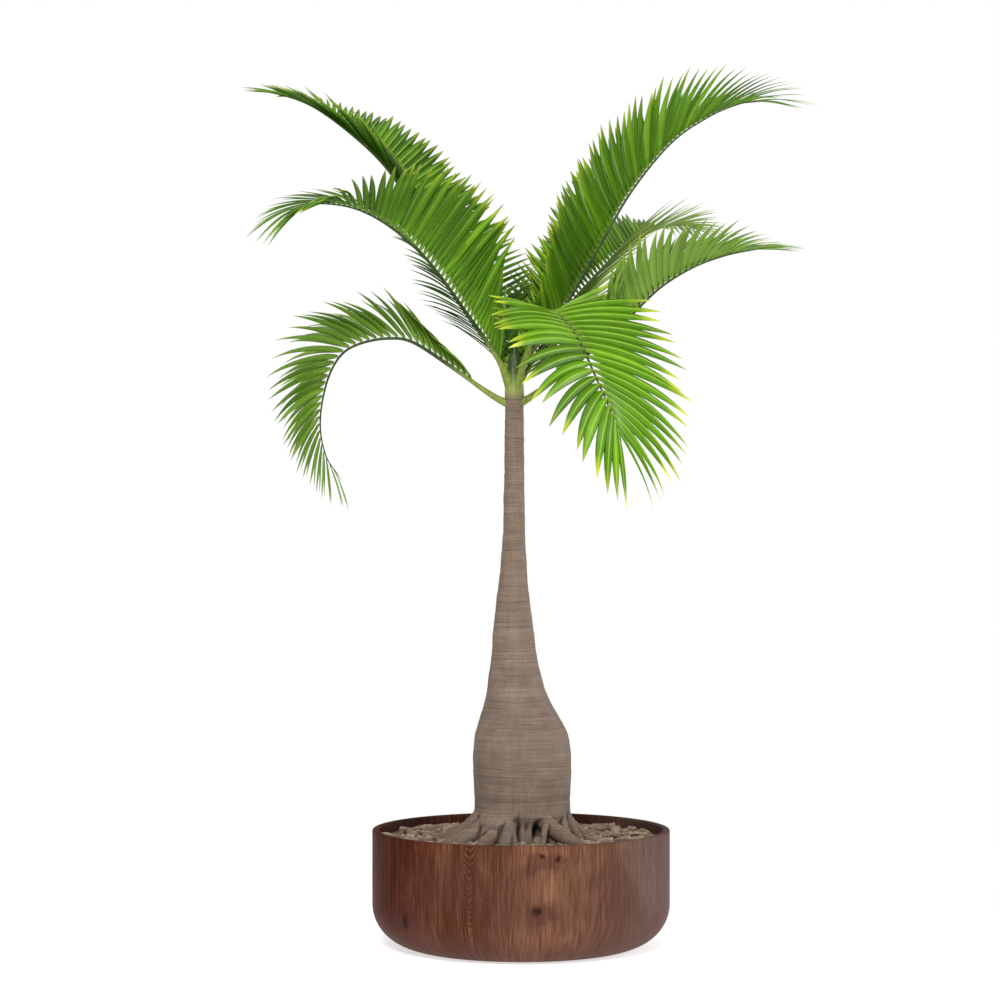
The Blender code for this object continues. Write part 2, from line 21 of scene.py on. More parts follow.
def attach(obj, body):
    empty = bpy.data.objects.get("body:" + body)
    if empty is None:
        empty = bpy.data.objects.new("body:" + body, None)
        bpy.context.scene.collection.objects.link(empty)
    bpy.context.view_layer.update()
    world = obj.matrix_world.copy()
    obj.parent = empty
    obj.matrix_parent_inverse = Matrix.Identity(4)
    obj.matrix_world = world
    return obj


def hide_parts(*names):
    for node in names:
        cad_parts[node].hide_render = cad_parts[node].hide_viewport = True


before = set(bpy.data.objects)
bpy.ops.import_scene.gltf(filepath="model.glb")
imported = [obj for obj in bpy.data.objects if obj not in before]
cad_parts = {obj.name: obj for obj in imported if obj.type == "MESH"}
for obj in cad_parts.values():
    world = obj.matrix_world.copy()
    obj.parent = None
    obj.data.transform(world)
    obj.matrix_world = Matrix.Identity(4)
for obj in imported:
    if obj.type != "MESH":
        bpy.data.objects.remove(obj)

# The camera of the photograph, level and in front of the plant.
CAMERA_PLACE = (-0.0383, -5.2, 0.812)
CAMERA_LENS = 102.636
CAMERA_REACH = 100
SENSOR_WIDTH = 36.0

# The studio.
WHITE = (1, 1, 1, 1)
FLOOR_WIDTH = 30  # from its middle to its edge
FLOOR_DROP = 0.0004  # keeps the floor just below the bowl's foot
FLOOR_GLOW = 0.62  # own light of the floor near the bowl
FLOOR_FADE = (0.30, 1.10)  # distances over which the floor turns as white as the studio
WORLD_LIGHT = 0.42
# Lights: name, place, target, size and power.
LIGHTS = (
    ("key", (-0.6, -3.9, 2.7), (0, 0, 0.9), 1.0, 122),
    ("fill", (2.8, -2.6, 1.5), (0, 0, 0.8), 1.6, 26),
    ("top", (0.3, -0.6, 3.8), (0, 0, 1.0), 1.4, 24),
    ("edge", (2.4, 0.9, 0.7), (0, 0, 0.25), 1.0, 20),
)

# The bowl.
BOWL_RADIUS = 0.271
BOWL_HEIGHT = 0.213
BOWL_WALL = 0.013
BOWL_FLOOR = 0.016
BOWL_BEND = (0.086, 0.078)  # width and height of the rounded lower edge
RIM_ROUND = 0.003
BOWL_SIDES = 256
# Knots in the wood: distance round the wall from the front, height, size and how flat.
KNOTS = (
    (-0.2335, 0.070, 0.0100, 0.65), (0.0257, 0.0996, 0.0105, 1.45), (0.0644, 0.1904, 0.0072, 1.30),
    (0.0330, 0.1950, 0.0042, 1.10), (0.4300, 0.1300, 0.0060, 0.90), (-0.5600, 0.0900, 0.0055, 1.20),
    (0.7300, 0.0600, 0.0060, 0.80),
)
# How far the bent grain, the dark core and the halo reach from a knot, in knot sizes.
KNOT_PULL = 4.0
KNOT_CORE = (0.20, 1.40)
KNOT_HALO = 6.0
# Arched figure in the wood: distance round the wall, height of the lowest arch and half-width.
ARCHES = (
    (-0.064, 0.030, 0.048), (0.330, 0.060, 0.040), (-0.430, 0.080, 0.036), (0.800, 0.090, 0.038),
)
ARCH_SLOPE = 2.7  # how steeply the arches rise to their sides
ARCH_ROUND = 0.0100
ARCH_PITCH = 0.0115
ARCH_FADE = 0.05  # height over which the arches set in

# The potting mix.
SOIL_TOP = 0.1965
SOIL_BODY = (0.120, 0.185)  # heights of the rings under its top
SOIL_HEAP = 0.005  # rise towards the trunk
SOIL_DIP = 0.0115  # hollow in front of the trunk
DIP_PLACE = (-0.02, -0.165)
DIP_SIZE = (0.12, 0.055)
SOIL_GRAIN = (0.45, 1.95)  # the two directions in which its folds run
SOIL_WARP = 0.014  # how far the folds wander
RIDGE_SLOPE = 2.2  # how narrow the crests are
# Heights of its sheets, flakes, creases, lumps and crumbs.
SHEET_RISE = 0.0072
FLAKE_RISE = 0.0030
CREASE_RISE = 0.0024
LUMP_RISE = 0.0034
CRUMB_RISE = 0.0005
FULL_RELIEF = 0.005  # height that the material takes as a full crest, for its painted light and shade
SOIL_GAP = 0.0006  # room between the mix and the bowl's wall
SOIL_SIDES = 520
SOIL_RINGS = 124
SOIL_HOLE = 0.060  # radius at which the mix ends, inside the trunk
CHIP_COUNT = 150
CHIP_GROUND = (0.105, 0.247)  # least and most distance from the middle
CHIP_LENGTHS = (0.009, 0.044)  # the least, and what the longest ones have more
CHIP_WIDTHS = (0.0025, 0.0085)
CHIP_THICKNESSES = (0.0008, 0.0018)
CHIP_CURLS = (0.0005, 0.0030)
CHIP_ROOM = 0.004  # room between a chip and the bowl's wall
CHIP_ROWS = (-0.5, -0.42, -0.15, 0.15, 0.42, 0.5)
# The section of a chip: place across it, and 1 on its upper side.
CHIP_SECTION = ((-0.5, 1), (0, 1), (0.5, 1), (0.5, 0), (0, 0), (-0.5, 0))

# The trunk: height and radius of the bare stem, from its underside in the mix to the crown.
STEM_PROFILE = (
    (0.130, 0.052), (0.150, 0.072), (0.175, 0.083), (0.200, 0.086), (0.240, 0.0870),
    (0.270, 0.0872), (0.301, 0.0888), (0.340, 0.0898), (0.371, 0.0872), (0.392, 0.0825),
    (0.423, 0.0690), (0.458, 0.0555), (0.484, 0.0495), (0.529, 0.0415), (0.575, 0.0368),
    (0.620, 0.0318), (0.666, 0.0262), (0.712, 0.0228), (0.757, 0.0202), (0.812, 0.0192),
    (0.900, 0.0178), (0.994, 0.0170),
)
# The stem's axis wanders sideways: height and offset along X.
STEM_LEAN = (
    (0.130, 0.0025), (0.347, 0.0020), (0.392, 0.0), (0.438, -0.0055), (0.484, -0.0105),
    (0.529, -0.0125), (0.620, -0.0145), (0.712, -0.0130), (1.100, -0.0115),
)
TRUNK_TOP = 0.994
FLARE_FOOT = 0.150
FLARE_TOP = 0.278
FLARE_LIP = 0.006  # how far the root flare's skin goes on inside the stem
FLARE_SINK = 0.0016  # how far it lies below the stem's skin there
FLARE_DENT = 0.0020  # depth of the shallow hollows between the roots
FLARE_ROWS = 40
FLARE_SIDES = 96
STEM_FOOT = 0.268  # lowest ring of the finely ringed stem
STEM_SIDES = 120
STEM_ROW = 0.0014
STEM_WAVE = 0.0016  # how far the fine rings waver
STEM_SWELLS = (0.0007, 0.0003)  # broad and fine unevenness
STEM_TUCK = 0.0022  # how far the stem's lowest ring is drawn in
RING_SPACING = 0.036
RING_STEP = 0.0002
RING_LEDGE = 0.010  # height over which the stem steps in above each leaf scar
SCAR_GAPS = (0.0034, 0.0068)  # least and most distance between two fine rings
SCAR_DEPTHS = (0.00014, 0.00050)
SCAR_WIDTH = 0.0009
SCAR_MARGINS = (0.002, 0.004)  # bare stem below the first ring and above the last
DEEP_SCARS = 0.14  # share of the rings that are deeper
DEEP_SCAR = 1.9  # how many times deeper they are
SCAR_SAMPLE = 0.0002

# Surface roots, one to each side of the stem: angle and height at which the root leaves the
# stem, angle of its foot, reach of the foot beyond the stem, half-width, and how far its fork
# turns away in degrees, 0 for a root without a fork.
ROOTS = (
    (11, 0.270, 8, 0.034, 0.0060, 0), (29, 0.276, 30, 0.044, 0.0065, 9),
    (49, 0.268, 44, 0.058, 0.0080, -9), (64, 0.256, 68, 0.030, 0.0070, 0),
    (84, 0.278, 83, 0.072, 0.0080, 10), (101, 0.262, 104, 0.046, 0.0065, 0),
    (121, 0.270, 117, 0.064, 0.0085, -8), (138, 0.260, 141, 0.078, 0.0070, 8),
    (157, 0.276, 158, 0.046, 0.0066, 0), (176, 0.270, 178, 0.060, 0.0060, 7),
    (194, 0.268, 205, 0.066, 0.0060, 0), (231, 0.258, 219, 0.074, 0.0130, 8),
    (243, 0.246, 240, 0.050, 0.0130, 0), (254, 0.262, 254, 0.062, 0.0110, 14),
    (295, 0.264, 310, 0.066, 0.0098, -46), (334, 0.270, 329, 0.018, 0.0064, 0),
    (351, 0.276, 349, 0.022, 0.0054, 0),
)
ROOT_FOOT = 0.196
ROOT_END = 0.170  # height at which the roots end inside the mix
ROOT_DIVE = 2.7  # how sharply the roots bend outwards on their way down
ROOT_WANDER = 2.5  # degrees
ROOT_STEPS = 22
ROOT_SIDES = 14
ROOT_VOXEL = 0.00183
ROOT_RELAXING = 5  # rounds of smoothing after the roots are melted together
ROOT_SHOULDER = 1.9  # how much thicker than its foot a root is where it leaves the stem
ROOT_TIP = 0.75  # half-width of a root at its end, as a share of the stated one
ROOT_SUNK = 1.42  # how deep a root's middle lies in the stem where it starts, in half-widths
ROOT_PROUD = 0.58  # and further down
ROOT_KNOBS = 0.20  # how much a root's thickness varies
ROOT_HEIGHT = 1.15  # height of a root's section as a share of its width
FORK_START = 0.32  # share of a root's way down at which a thinner root leaves it
FORK_SIZES = (0.70, 0.38)  # half-width of that fork where it starts and ends
FORK_SUNK = 0.75
FORK_DROP = 0.004  # how much nearer to the stem it ends than its root

# The stem's foot spreads a little between the roots, except where it is hollowed: angle,
# half-width in degrees, depth and top. A depth below zero is a swelling.
HOLLOWS = (
    (209, 6, 0.036, 0.246), (234, 21, -0.023, 0.262), (263, 3.2, 0.030, 0.250),
    (273, 8, 0.014, 0.250), (291, 7, 0.052, 0.243), (345, 30, 0.014, 0.250),
)
SKIRT_WIDTH = 0.021
SKIRT_TOP = 0.262
SKIRT_FOOT = 0.185
RECESS = 0.0009  # depth between two roots at which the painted shade on the bark is darkest
RECESS_ROUNDS = 22  # rounds of smoothing that the recesses are found by
CREASE_DEPTH = 0.00055  # creases along the roots
WRINKLE_DEPTH = 0.00028  # rings round the stem above the roots

# The crownshaft: height above the trunk and radius.
CROWN_PROFILE = (
    (0.0000, 0.0168), (0.0100, 0.0176), (0.0300, 0.0164), (0.0500, 0.0142), (0.0700, 0.0112),
    (0.0900, 0.0068), (0.1040, 0.0018),
)
CROWN_GAP = 0.0004  # keeps it just above the trunk
CROWN_SIDES = 96
CROWN_ROWS = 80
CROWN_FOLD = 0.0009  # step at the edge of each rolled leaf base
CROWN_RIDGE = 0.00018  # height of the fine upright ridges
FULL_CROWN = 0.012  # height or radius from which the folds are full

# The fronds.
SPINE_STEPS = 14  # straight pieces between two of a spine's points
SPINE_STEP = 0.006  # distance over which a spine's direction is measured
MIDRIB_TIP = 0.020  # length of the point past the last leaflets
MIDRIB_ROW = 0.005
MIDRIB_SIDES = 14
STALK_TAPER = 0.35  # share of the blade where the midrib has thinned to its middle size
STALK_DEPTHS = (0.0080, 0.0070, 0.0046, 0.0030, 0.0010)  # half-depths from the crown to the tip
STALK_WIDTHS = (0.0048, 0.0030, 0.0010)  # half-widths at the blade's base, middle and tip
LEAFLET_WIDTH = 0.0185
LEAST_WIDTH = 0.34  # narrowest leaflet as a share of the full width
LEAFLET_SPACE = 1.60  # share of the room between neighbours that a leaflet fills
LEAFLET_THICKNESS = 0.0006
LEAFLET_FOLD = 0.30  # height of the folded midrib as a share of the width
LEAFLET_RIPPLE = 0.0012
# How much leaflets differ by chance: their lean and angle in degrees, and shares of their length
# and droop.
LUCK = (1.6, 1.4, 0.045, 0.25)
LEAFLET_ROWS = (
    0, 0.02, 0.05, 0.09, 0.14, 0.2, 0.28, 0.36, 0.45, 0.54, 0.63, 0.72, 0.8, 0.87, 0.93, 0.97, 1,
)
# The outline of a leaflet: share of the length and of the width.
LEAFLET_OUTLINE = (
    (0.0, 0.30), (0.05, 0.54), (0.12, 0.80), (0.22, 0.95), (0.36, 1.0), (0.54, 0.94), (0.70, 0.76),
    (0.83, 0.49), (0.92, 0.26), (0.975, 0.10), (1.0, 0.02),
)
# The section of a leaflet: place across it, share of the fold's height, and 1 on the underside,
# 0.5 on the rims.
LEAFLET_SECTION = (
    (1.0, 0.0, 0.5), (0.5, 0.62, 0.0), (0.0, 1.0, 0.0), (-0.5, 0.62, 0.0), (-1.0, 0.0, 0.5),
    (-0.5, 0.62, 1.0), (0.0, 1.0, 1.0), (0.5, 0.62, 1.0),
)
LEAF_MARKS = ("along", "across", "under", "tone", "gold", "rib", "base", "dull")
# A leaflet that would touch another frond is folded forward, lifted and then shortened.
CLEARANCE = 0.0020
FOLDS = (0.0, 0.12, 0.24)
LIFTS = (0, 12)
SHORTENINGS = (1.0, 0.85, 0.7, 0.55, 0.42)
PROBE_ROWS = (0.03, 0.12, 0.22, 0.32, 0.42, 0.52, 0.62, 0.72, 0.82, 0.92, 1.0)


@dataclass
class Frond:
    """One feather frond. Its spine is given as (reach, height) in the frond's upright plane.

    Other tuples, except dull, run evenly from the blade's base to its tip. The far rank is the
    one on the right of the spine, as seen from the crown.
    """

    name: str
    azimuth: float  # degrees from +X towards +Y
    spine: tuple
    leaflet: float = 0.170  # longest leaflet
    stalk: float = 0.080  # bare stalk below the first leaflet
    stalk_width: float = 0.0090  # half-width where the stalk leaves the crownshaft
    vee: tuple = (45, 45, 55)  # how far each rank leans off the upper side
    roll: tuple = (0, 0, 0)  # turn of the blade about the spine
    rake: tuple = (32, 54, 68, 60, 42, 18)  # leaflet angle off the spine
    lengths: tuple = (0.75, 0.95, 1.0, 1.0, 0.92, 0.78, 0.55)  # shares of the longest
    twist: tuple = (18, 18)  # turn of the leaflets, so that neighbours overlap like tiles
    pitch: float = 0.0128  # distance between leaflets
    droop: float = 0.14  # how far the leaflets hang
    sweep: tuple = (0.10,)  # how far they curve towards the frond's tip
    width: float = 1.0  # share of the full leaflet width
    tip_droop: float = 0.06  # how much more the leaflets at the tip hang
    tip_width: float = 0.55  # width of the leaflets at the tip, as a share of the others
    gold: float = 0.45  # how yellow the leaflets' tips are, with painted light shining through them
    dull: tuple = (0.0, 0.0)  # greyness of the left and the far rank, partly painted light; below 0, painted light that brightens them
    light: float = 1.0  # lightness of the leaflets, partly painted light and shade of the whole frond
    far_twist: tuple = ()  # twist of the far rank, where it differs
    far_lengths: tuple = (1.0,)  # its length as a share of the other rank's
    far_width: float = 1.0  # its width as a share of the other rank's


FRONDS = (
    Frond(
        "frond_left_front", 210,
        (
            (0.004, 1.010), (0.034, 1.067), (0.094, 1.141), (0.173, 1.234), (0.248, 1.293),
            (0.323, 1.326), (0.397, 1.332), (0.443, 1.321),
        ),
        stalk_width=0.0125, stalk=0.060, leaflet=0.175, vee=(56, 54, 52, 56, 72, 92),
        roll=(-34, -24, -8, 4, 10), rake=(32, 54, 66, 68, 62, 44, 18),
        lengths=(0.75, 0.95, 1.0, 1.04, 0.98, 0.84, 0.70), droop=0.20, sweep=(0.0, 0.0, 0.05, 0.14),
        tip_droop=0.12, tip_width=0.75, pitch=0.0104, light=0.9, far_twist=(-26, -18, 3, 7, 18),
        far_lengths=(0.80,), far_width=0.58,
    ),
    Frond(
        "frond_front", 297,
        (
            (0.004, 1.003), (0.030, 1.050), (0.080, 1.112), (0.120, 1.136), (0.155, 1.141),
            (0.200, 1.120), (0.250, 1.086), (0.300, 1.032), (0.350, 0.975), (0.388, 0.925),
        ),
        leaflet=0.194, stalk=0.118, vee=(62, 74, 80, 80, 78), roll=(-9, 0, 8, 8, 8),
        rake=(66, 76, 80, 76, 60, 38, 9), lengths=(0.76, 0.88, 0.98, 1.0, 1.0, 0.93, 0.80),
        tip_width=1.4, twist=(-50, -42, -28, -8, 0), pitch=0.0162, droop=0.18, gold=1.0,
        dull=(-0.8, -0.8), far_lengths=(0.55, 0.80, 1.0, 1.0, 1.0), light=0.9,
    ),
    Frond(
        "frond_right_high", 12,
        (
            (0.004, 1.040), (0.029, 1.078), (0.089, 1.159), (0.163, 1.284), (0.221, 1.381),
            (0.295, 1.470), (0.366, 1.520), (0.425, 1.546), (0.462, 1.552),
        ),
        leaflet=0.194, stalk=0.040, vee=(52, 46, 48, 55, 85), roll=(4, 9, 9, 5, 0),
        rake=(60, 66, 68, 59, 42, 18), lengths=(0.44, 0.72, 0.90, 0.93, 0.86, 0.72, 0.56),
        sweep=(0.06, 0.16, 0.28, 0.28), twist=(-16, -16), pitch=0.0108, gold=0.5,
    ),
    Frond(
        "frond_left_low", 180,
        (
            (0.004, 0.983), (0.046, 1.007), (0.116, 1.056), (0.185, 1.100), (0.231, 1.107),
            (0.280, 1.098), (0.314, 1.079), (0.337, 1.042), (0.351, 0.990), (0.354, 0.938),
            (0.343, 0.890), (0.325, 0.862),
        ),
        leaflet=0.155, stalk=0.085, vee=(58, 52, 48, 48, 58), rake=(34, 44, 54, 62, 60, 42, 14),
        lengths=(0.60, 0.88, 1.02, 1.06, 0.84, 0.64, 0.50), droop=0.24, sweep=(0.04,), gold=0.3,
        dull=(0.6, 0.6), light=1.2,
    ),
    Frond(
        "frond_right_low", 348,
        (
            (0.004, 0.984), (0.056, 1.018), (0.139, 1.080), (0.207, 1.138), (0.267, 1.194),
            (0.327, 1.230), (0.387, 1.251), (0.447, 1.262),
        ),
        stalk=0.085, leaflet=0.158, vee=(60, 56, 54, 62, 88), rake=(40, 52, 60, 58, 42, 18),
        lengths=(0.75, 0.92, 1.0, 1.0, 0.92, 0.78, 0.55), sweep=(0.14, 0.26, 0.26),
        twist=(-16, -16), pitch=0.0114, gold=0.3, dull=(0.15, 1.10), far_width=0.84,
    ),
    Frond(
        "frond_left_back", 140,
        (
            (0.004, 1.034), (0.054, 1.106), (0.112, 1.186), (0.181, 1.280), (0.251, 1.367),
            (0.320, 1.445), (0.400, 1.508), (0.500, 1.570), (0.590, 1.606),
        ),
        leaflet=0.164, stalk=0.030, roll=(-2, -9, -9, -6, 0), vee=(58, 52, 60, 88),
        rake=(60, 72, 70, 58, 40, 18), lengths=(0.85, 0.91, 0.84, 0.92, 0.90, 0.78, 0.55),
        far_lengths=(1.0, 1.2, 1.05, 1.0, 1.0, 1.0), far_twist=(-66, -52, -8, 18, 18, 18),
        gold=0.35, dull=(-0.40, -0.25), light=0.6,
    ),
    Frond(
        "frond_right_back", 55,
        (
            (0.004, 1.010), (0.066, 1.075), (0.122, 1.122), (0.199, 1.190), (0.300, 1.255),
            (0.410, 1.313), (0.502, 1.347), (0.590, 1.360), (0.645, 1.356),
        ),
        stalk_width=0.0080, stalk=0.034, leaflet=0.175, vee=(76, 64, 48, 80, 110),
        rake=(50, 54, 52, 44, 30, 12), sweep=(0.16,), width=0.75, gold=0.3, dull=(-0.7, 1.4),
        far_twist=(6, 6, 6, 18, 18), far_width=0.7,
    ),
)


# Numbers and curves.


def smooth_value(table, z):
    """Reads a table of (height, value) along a smooth curve."""
    heights = [row[0] for row in table]
    i = min(max(int(np.searchsorted(heights, z)) - 1, 0), len(table) - 2)
    z0, v0 = table[i]
    z1, v1 = table[i + 1]
    before = table[max(i - 1, 0)]
    after = table[min(i + 2, len(table) - 1)]
    slope0 = (v1 - before[1]) / (z1 - before[0])
    slope1 = (after[1] - v0) / (after[0] - z0)
    t = min(max((z - z0) / (z1 - z0), 0.0), 1.0)
    span = z1 - z0
    return (
        v0 * (2 * t**3 - 3 * t**2 + 1)
        + v1 * (3 * t**2 - 2 * t**3)
        + span * slope0 * (t**3 - 2 * t**2 + t)
        + span * slope1 * (t**3 - t**2)
    )


def smooth_step(t):
    """Eases from 0 to 1."""
    t = min(max(t, 0.0), 1.0)
    return t * t * (3 - 2 * t)


def interpolate(values, share):
    """Reads evenly spaced values at a share from 0 to 1."""
    return float(np.interp(share, np.linspace(0, 1, len(values)), values))


def smooth_line(points):
    """A Catmull-Rom curve through the points."""
    padded = [2 * points[0] - points[1], *points, 2 * points[-1] - points[-2]]
    line = []
    for p0, p1, p2, p3 in zip(padded, padded[1:], padded[2:], padded[3:]):
        bend = 2 * p0 - 5 * p1 + 4 * p2 - p3
        twist = 3 * p1 - 3 * p2 + p3 - p0
        for t in np.linspace(0, 1, SPINE_STEPS, endpoint=False):
            line.append(p1 + ((p2 - p0) * t + bend * t**2 + twist * t**3) / 2)
    return [*line, points[-1]]


def rough(x, y, z, per_metre):
    """Smooth noise from -1 to 1 at a place, with the given number of lumps per metre."""
    return noise.noise(Vector((x * per_metre, y * per_metre, z * per_metre)))


def arc(centre, radii, start, end, count):
    """Points of an elliptical arc in the (radius, height) plane, angles in degrees."""
    angles = [math.radians(start + (end - start) * i / count) for i in range(count + 1)]
    return [(centre[0] + radii[0] * math.cos(a), centre[1] + radii[1] * math.sin(a)) for a in angles]


def run(start, end, count):
    """Points of a straight line in the (radius, height) plane, without its ends."""
    return [tuple(a + (b - a) * k / count for a, b in zip(start, end)) for k in range(1, count)]


def bumps(x, y, per_metre, layer):
    """Smooth noise from -1 to 1 in a plane, with the given number of lumps per metre."""
    return noise.noise(Vector((x * per_metre, y * per_metre, layer)))


def circle_angles(count):
    """Even angles round a circle."""
    return [math.tau * i / count for i in range(count)]


def level_ring(radii, height, axis_x=0.0):
    """Points of a level ring, one for each of its radii."""
    angles = circle_angles(len(radii))
    return [(axis_x + r * math.cos(a), r * math.sin(a), height) for r, a in zip(radii, angles)]


# Meshes.


def tube_faces(rings, sides, first=0):
    """The faces of an open tube whose points are numbered ring by ring from the first."""
    return [
        tuple(first + sides * row + side for row, side in ((k, i), (k, j), (k + 1, j), (k + 1, i)))
        for k in range(rings - 1)
        for i, j in ((i, (i + 1) % sides) for i in range(sides))
    ]


class Skin:
    """Collects the points and faces of a piece, and numbers at its points for the material."""

    def __init__(self, *marks):
        self.points = []
        self.faces = []
        self.marks = {name: [] for name in marks}

    def ring(self, points, **marks):
        """Adds points with their marks, each a number or one number for each point."""
        first = len(self.points)
        self.points += points
        for name, values in self.marks.items():
            given = marks.get(name, 0.0)
            values += list(given) if hasattr(given, "__len__") else [given] * len(points)
        return tuple(range(first, first + len(points)))

    def tube(self, rings):
        """Joins rings of points, added one after another, and closes both ends."""
        self.faces += tube_faces(len(rings), len(rings[0]), rings[0][0])
        self.faces += [rings[0][::-1], rings[-1]]


def add_object(name, data):
    """Adds an object to the scene."""
    obj = bpy.data.objects.new(name, data)
    bpy.context.scene.collection.objects.link(obj)
    return obj


def make_piece(name, skin, sharp=40):
    """Turns a skin into a linked object with its marks as attributes."""
    mesh = bpy.data.meshes.new(name)
    mesh.from_pydata([tuple(p) for p in skin.points], [], skin.faces)
    bm = bmesh.new()
    bm.from_mesh(mesh)
    bmesh.ops.recalc_face_normals(bm, faces=bm.faces)
    bm.to_mesh(mesh)
    bm.free()
    for mark, values in skin.marks.items():
        mesh.attributes.new(mark, "FLOAT", "POINT").data.foreach_set("value", values)
    mesh.shade_smooth()
    mesh.set_sharp_from_angle(angle=math.radians(sharp))
    return add_object(name, mesh)


def dress(obj, material, slot, *nodes):
    """Gives a piece its material and lets it stand for its nodes. The slot is not used."""
    obj.data.materials.append(material)
    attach(obj, "root")
    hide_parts(*nodes)


# The bowl.


def build_bowl(material):
    """The turned bowl: a flat foot, a rounded lower edge, an upright wall and a soft rim."""
    wall = BOWL_RADIUS - BOWL_WALL
    rim = (RIM_ROUND, RIM_ROUND)
    rim_height = BOWL_HEIGHT - RIM_ROUND
    bend_centre = (BOWL_RADIUS - BOWL_BEND[0], BOWL_BEND[1])
    inner_bend = (BOWL_BEND[0] - BOWL_WALL, BOWL_BEND[1] - BOWL_FLOOR)
    inner_centre = (wall - inner_bend[0], BOWL_FLOOR + inner_bend[1])
    outline = [
        *run((0.0, 0.0), (bend_centre[0], 0.0), 6),
        *arc(bend_centre, BOWL_BEND, -90, 0, 28),
        *run((BOWL_RADIUS, BOWL_BEND[1]), (BOWL_RADIUS, rim_height), 14),
        *arc((BOWL_RADIUS - RIM_ROUND, rim_height), rim, 0, 90, 6),
        *arc((wall + RIM_ROUND, rim_height), rim, 90, 180, 6),
        *run((wall, rim_height), (wall, inner_centre[1]), 10),
        *arc(inner_centre, inner_bend, 0, -90, 8),
        *run((inner_centre[0], BOWL_FLOOR), (0.0, BOWL_FLOOR), 5),
    ]
    skin = Skin()
    skin.tube([skin.ring(level_ring([radius] * BOWL_SIDES, height)) for radius, height in outline])
    dress(make_piece("walnut_bowl", skin), material, "walnut", "bowl")


# The potting mix.


def ridged(x, y, per_metre, layer):
    """Sharp crests from 0 to 1, like the edges of folded bark."""
    return max(1 - abs(bumps(x, y, per_metre, layer)) * RIDGE_SLOPE, 0.0)


def soil_relief(x, y):
    """Height of the mix's folds over its even surface: crumpled sheets in two directions."""
    u = x + SOIL_WARP * bumps(x, y, 24, 2.0)
    v = y + SOIL_WARP * bumps(x, y, 24, 9.0)
    patch = smooth_step(0.5 + 2.4 * bumps(x, y, 13, 6.0))
    sheets = flakes = 0.0
    for angle, share in ((SOIL_GRAIN[0], patch), (SOIL_GRAIN[1], 1 - patch)):
        along = u * math.cos(angle) + v * math.sin(angle)
        across = v * math.cos(angle) - u * math.sin(angle)
        sheets += share * ridged(along * 0.24, across, 33, 1.7 + angle) ** 2
        flakes += share * ridged(along * 0.22, across, 88, 8.2 + angle) ** 2
    creases = ridged(u, v, 38, 12.4) - ridged(v, u, 54, 6.6)
    folds = SHEET_RISE * (sheets - 0.45) + FLAKE_RISE * (flakes - 0.4) + CREASE_RISE * creases
    return LUMP_RISE * bumps(x, y, 26, 0.3) + folds + CRUMB_RISE * bumps(x, y, 260, 3.1)


def soil_height(x, y):
    """The mix heaps up a little towards the trunk, but dips in front of it."""
    heap = SOIL_HEAP * max(0.0, 1 - math.hypot(x, y) / BOWL_RADIUS)
    aside = (x - DIP_PLACE[0]) / DIP_SIZE[0]
    ahead = (y - DIP_PLACE[1]) / DIP_SIZE[1]
    dip = SOIL_DIP * math.exp(-(aside**2) - ahead**2)
    return SOIL_TOP + heap - dip + soil_relief(x, y)


def build_soil(material):
    """The crumpled top of the mix, and the body under it."""
    wall = BOWL_RADIUS - BOWL_WALL - SOIL_GAP
    skin = Skin("relief")
    body = [level_ring([wall] * SOIL_SIDES, height) for height in SOIL_BODY]
    rings = [skin.ring(ring, relief=-1.0) for ring in body]
    for k in range(SOIL_RINGS + 1):
        radius = wall + (SOIL_HOLE - wall) * k / SOIL_RINGS
        spots = level_ring([radius] * SOIL_SIDES, SOIL_TOP)
        relief = [soil_relief(x, y) / FULL_RELIEF for x, y, _ in spots]
        ring = [(x, y, soil_height(x, y)) for x, y, _ in spots]
        rings.append(skin.ring(ring, relief=relief))
    skin.tube(rings)
    chance = random.Random(7)
    for _ in range(CHIP_COUNT):
        add_chip(skin, chance)
    dress(make_piece("potting_mix_top", skin, 60), material, "potting_mix", "soil")


def add_chip(skin, chance):
    """A curled flake of bark that lies on the mix."""
    radius = math.sqrt(chance.uniform(CHIP_GROUND[0] ** 2, CHIP_GROUND[1] ** 2))
    place = chance.uniform(0, math.tau)
    x, y = radius * math.cos(place), radius * math.sin(place)
    heading = chance.uniform(0, math.tau)
    length = CHIP_LENGTHS[0] + CHIP_LENGTHS[1] * chance.random() ** 1.8
    width = min(chance.uniform(*CHIP_WIDTHS), 0.8 * length)
    if length / 2 > BOWL_RADIUS - BOWL_WALL - CHIP_ROOM - radius:
        return
    thickness = chance.uniform(*CHIP_THICKNESSES)
    curl = chance.uniform(*CHIP_CURLS)
    tone = chance.uniform(-0.9, 0.9)
    ahead = (math.cos(heading), math.sin(heading))
    rings = []
    for along in CHIP_ROWS:
        end = 1 - 0.55 * smooth_step((abs(along) - 0.3) / 0.2)
        section = []
        for across, top in CHIP_SECTION:
            u, v = length * along, width * end * across
            px = x + ahead[0] * u - ahead[1] * v
            py = y + ahead[1] * u + ahead[0] * v
            arch = curl * (1 - (2 * across) ** 2)
            base = soil_height(px, py) * 0.35 + soil_height(x, y) * 0.65
            section.append((px, py, base + arch + thickness * (top - 0.6)))
        rings.append(skin.ring(section, relief=tone))
    skin.tube(rings)


# The trunk.


def scar_table():
    """Depth of the fine rings over the stem's height, as (heights, depths)."""
    chance = random.Random(11)
    heights = np.arange(STEM_FOOT, TRUNK_TOP, SCAR_SAMPLE)
    depths = np.zeros(len(heights))
    z = STEM_FOOT + SCAR_MARGINS[0]
    while z < TRUNK_TOP - SCAR_MARGINS[1]:
        deep = chance.uniform(*SCAR_DEPTHS) * (DEEP_SCAR if chance.random() < DEEP_SCARS else 1.0)
        width = SCAR_WIDTH * chance.uniform(0.7, 1.25)
        depths += deep * np.exp(-(((heights - z) / width) ** 2))
        z += chance.uniform(*SCAR_GAPS)
    return heights, depths


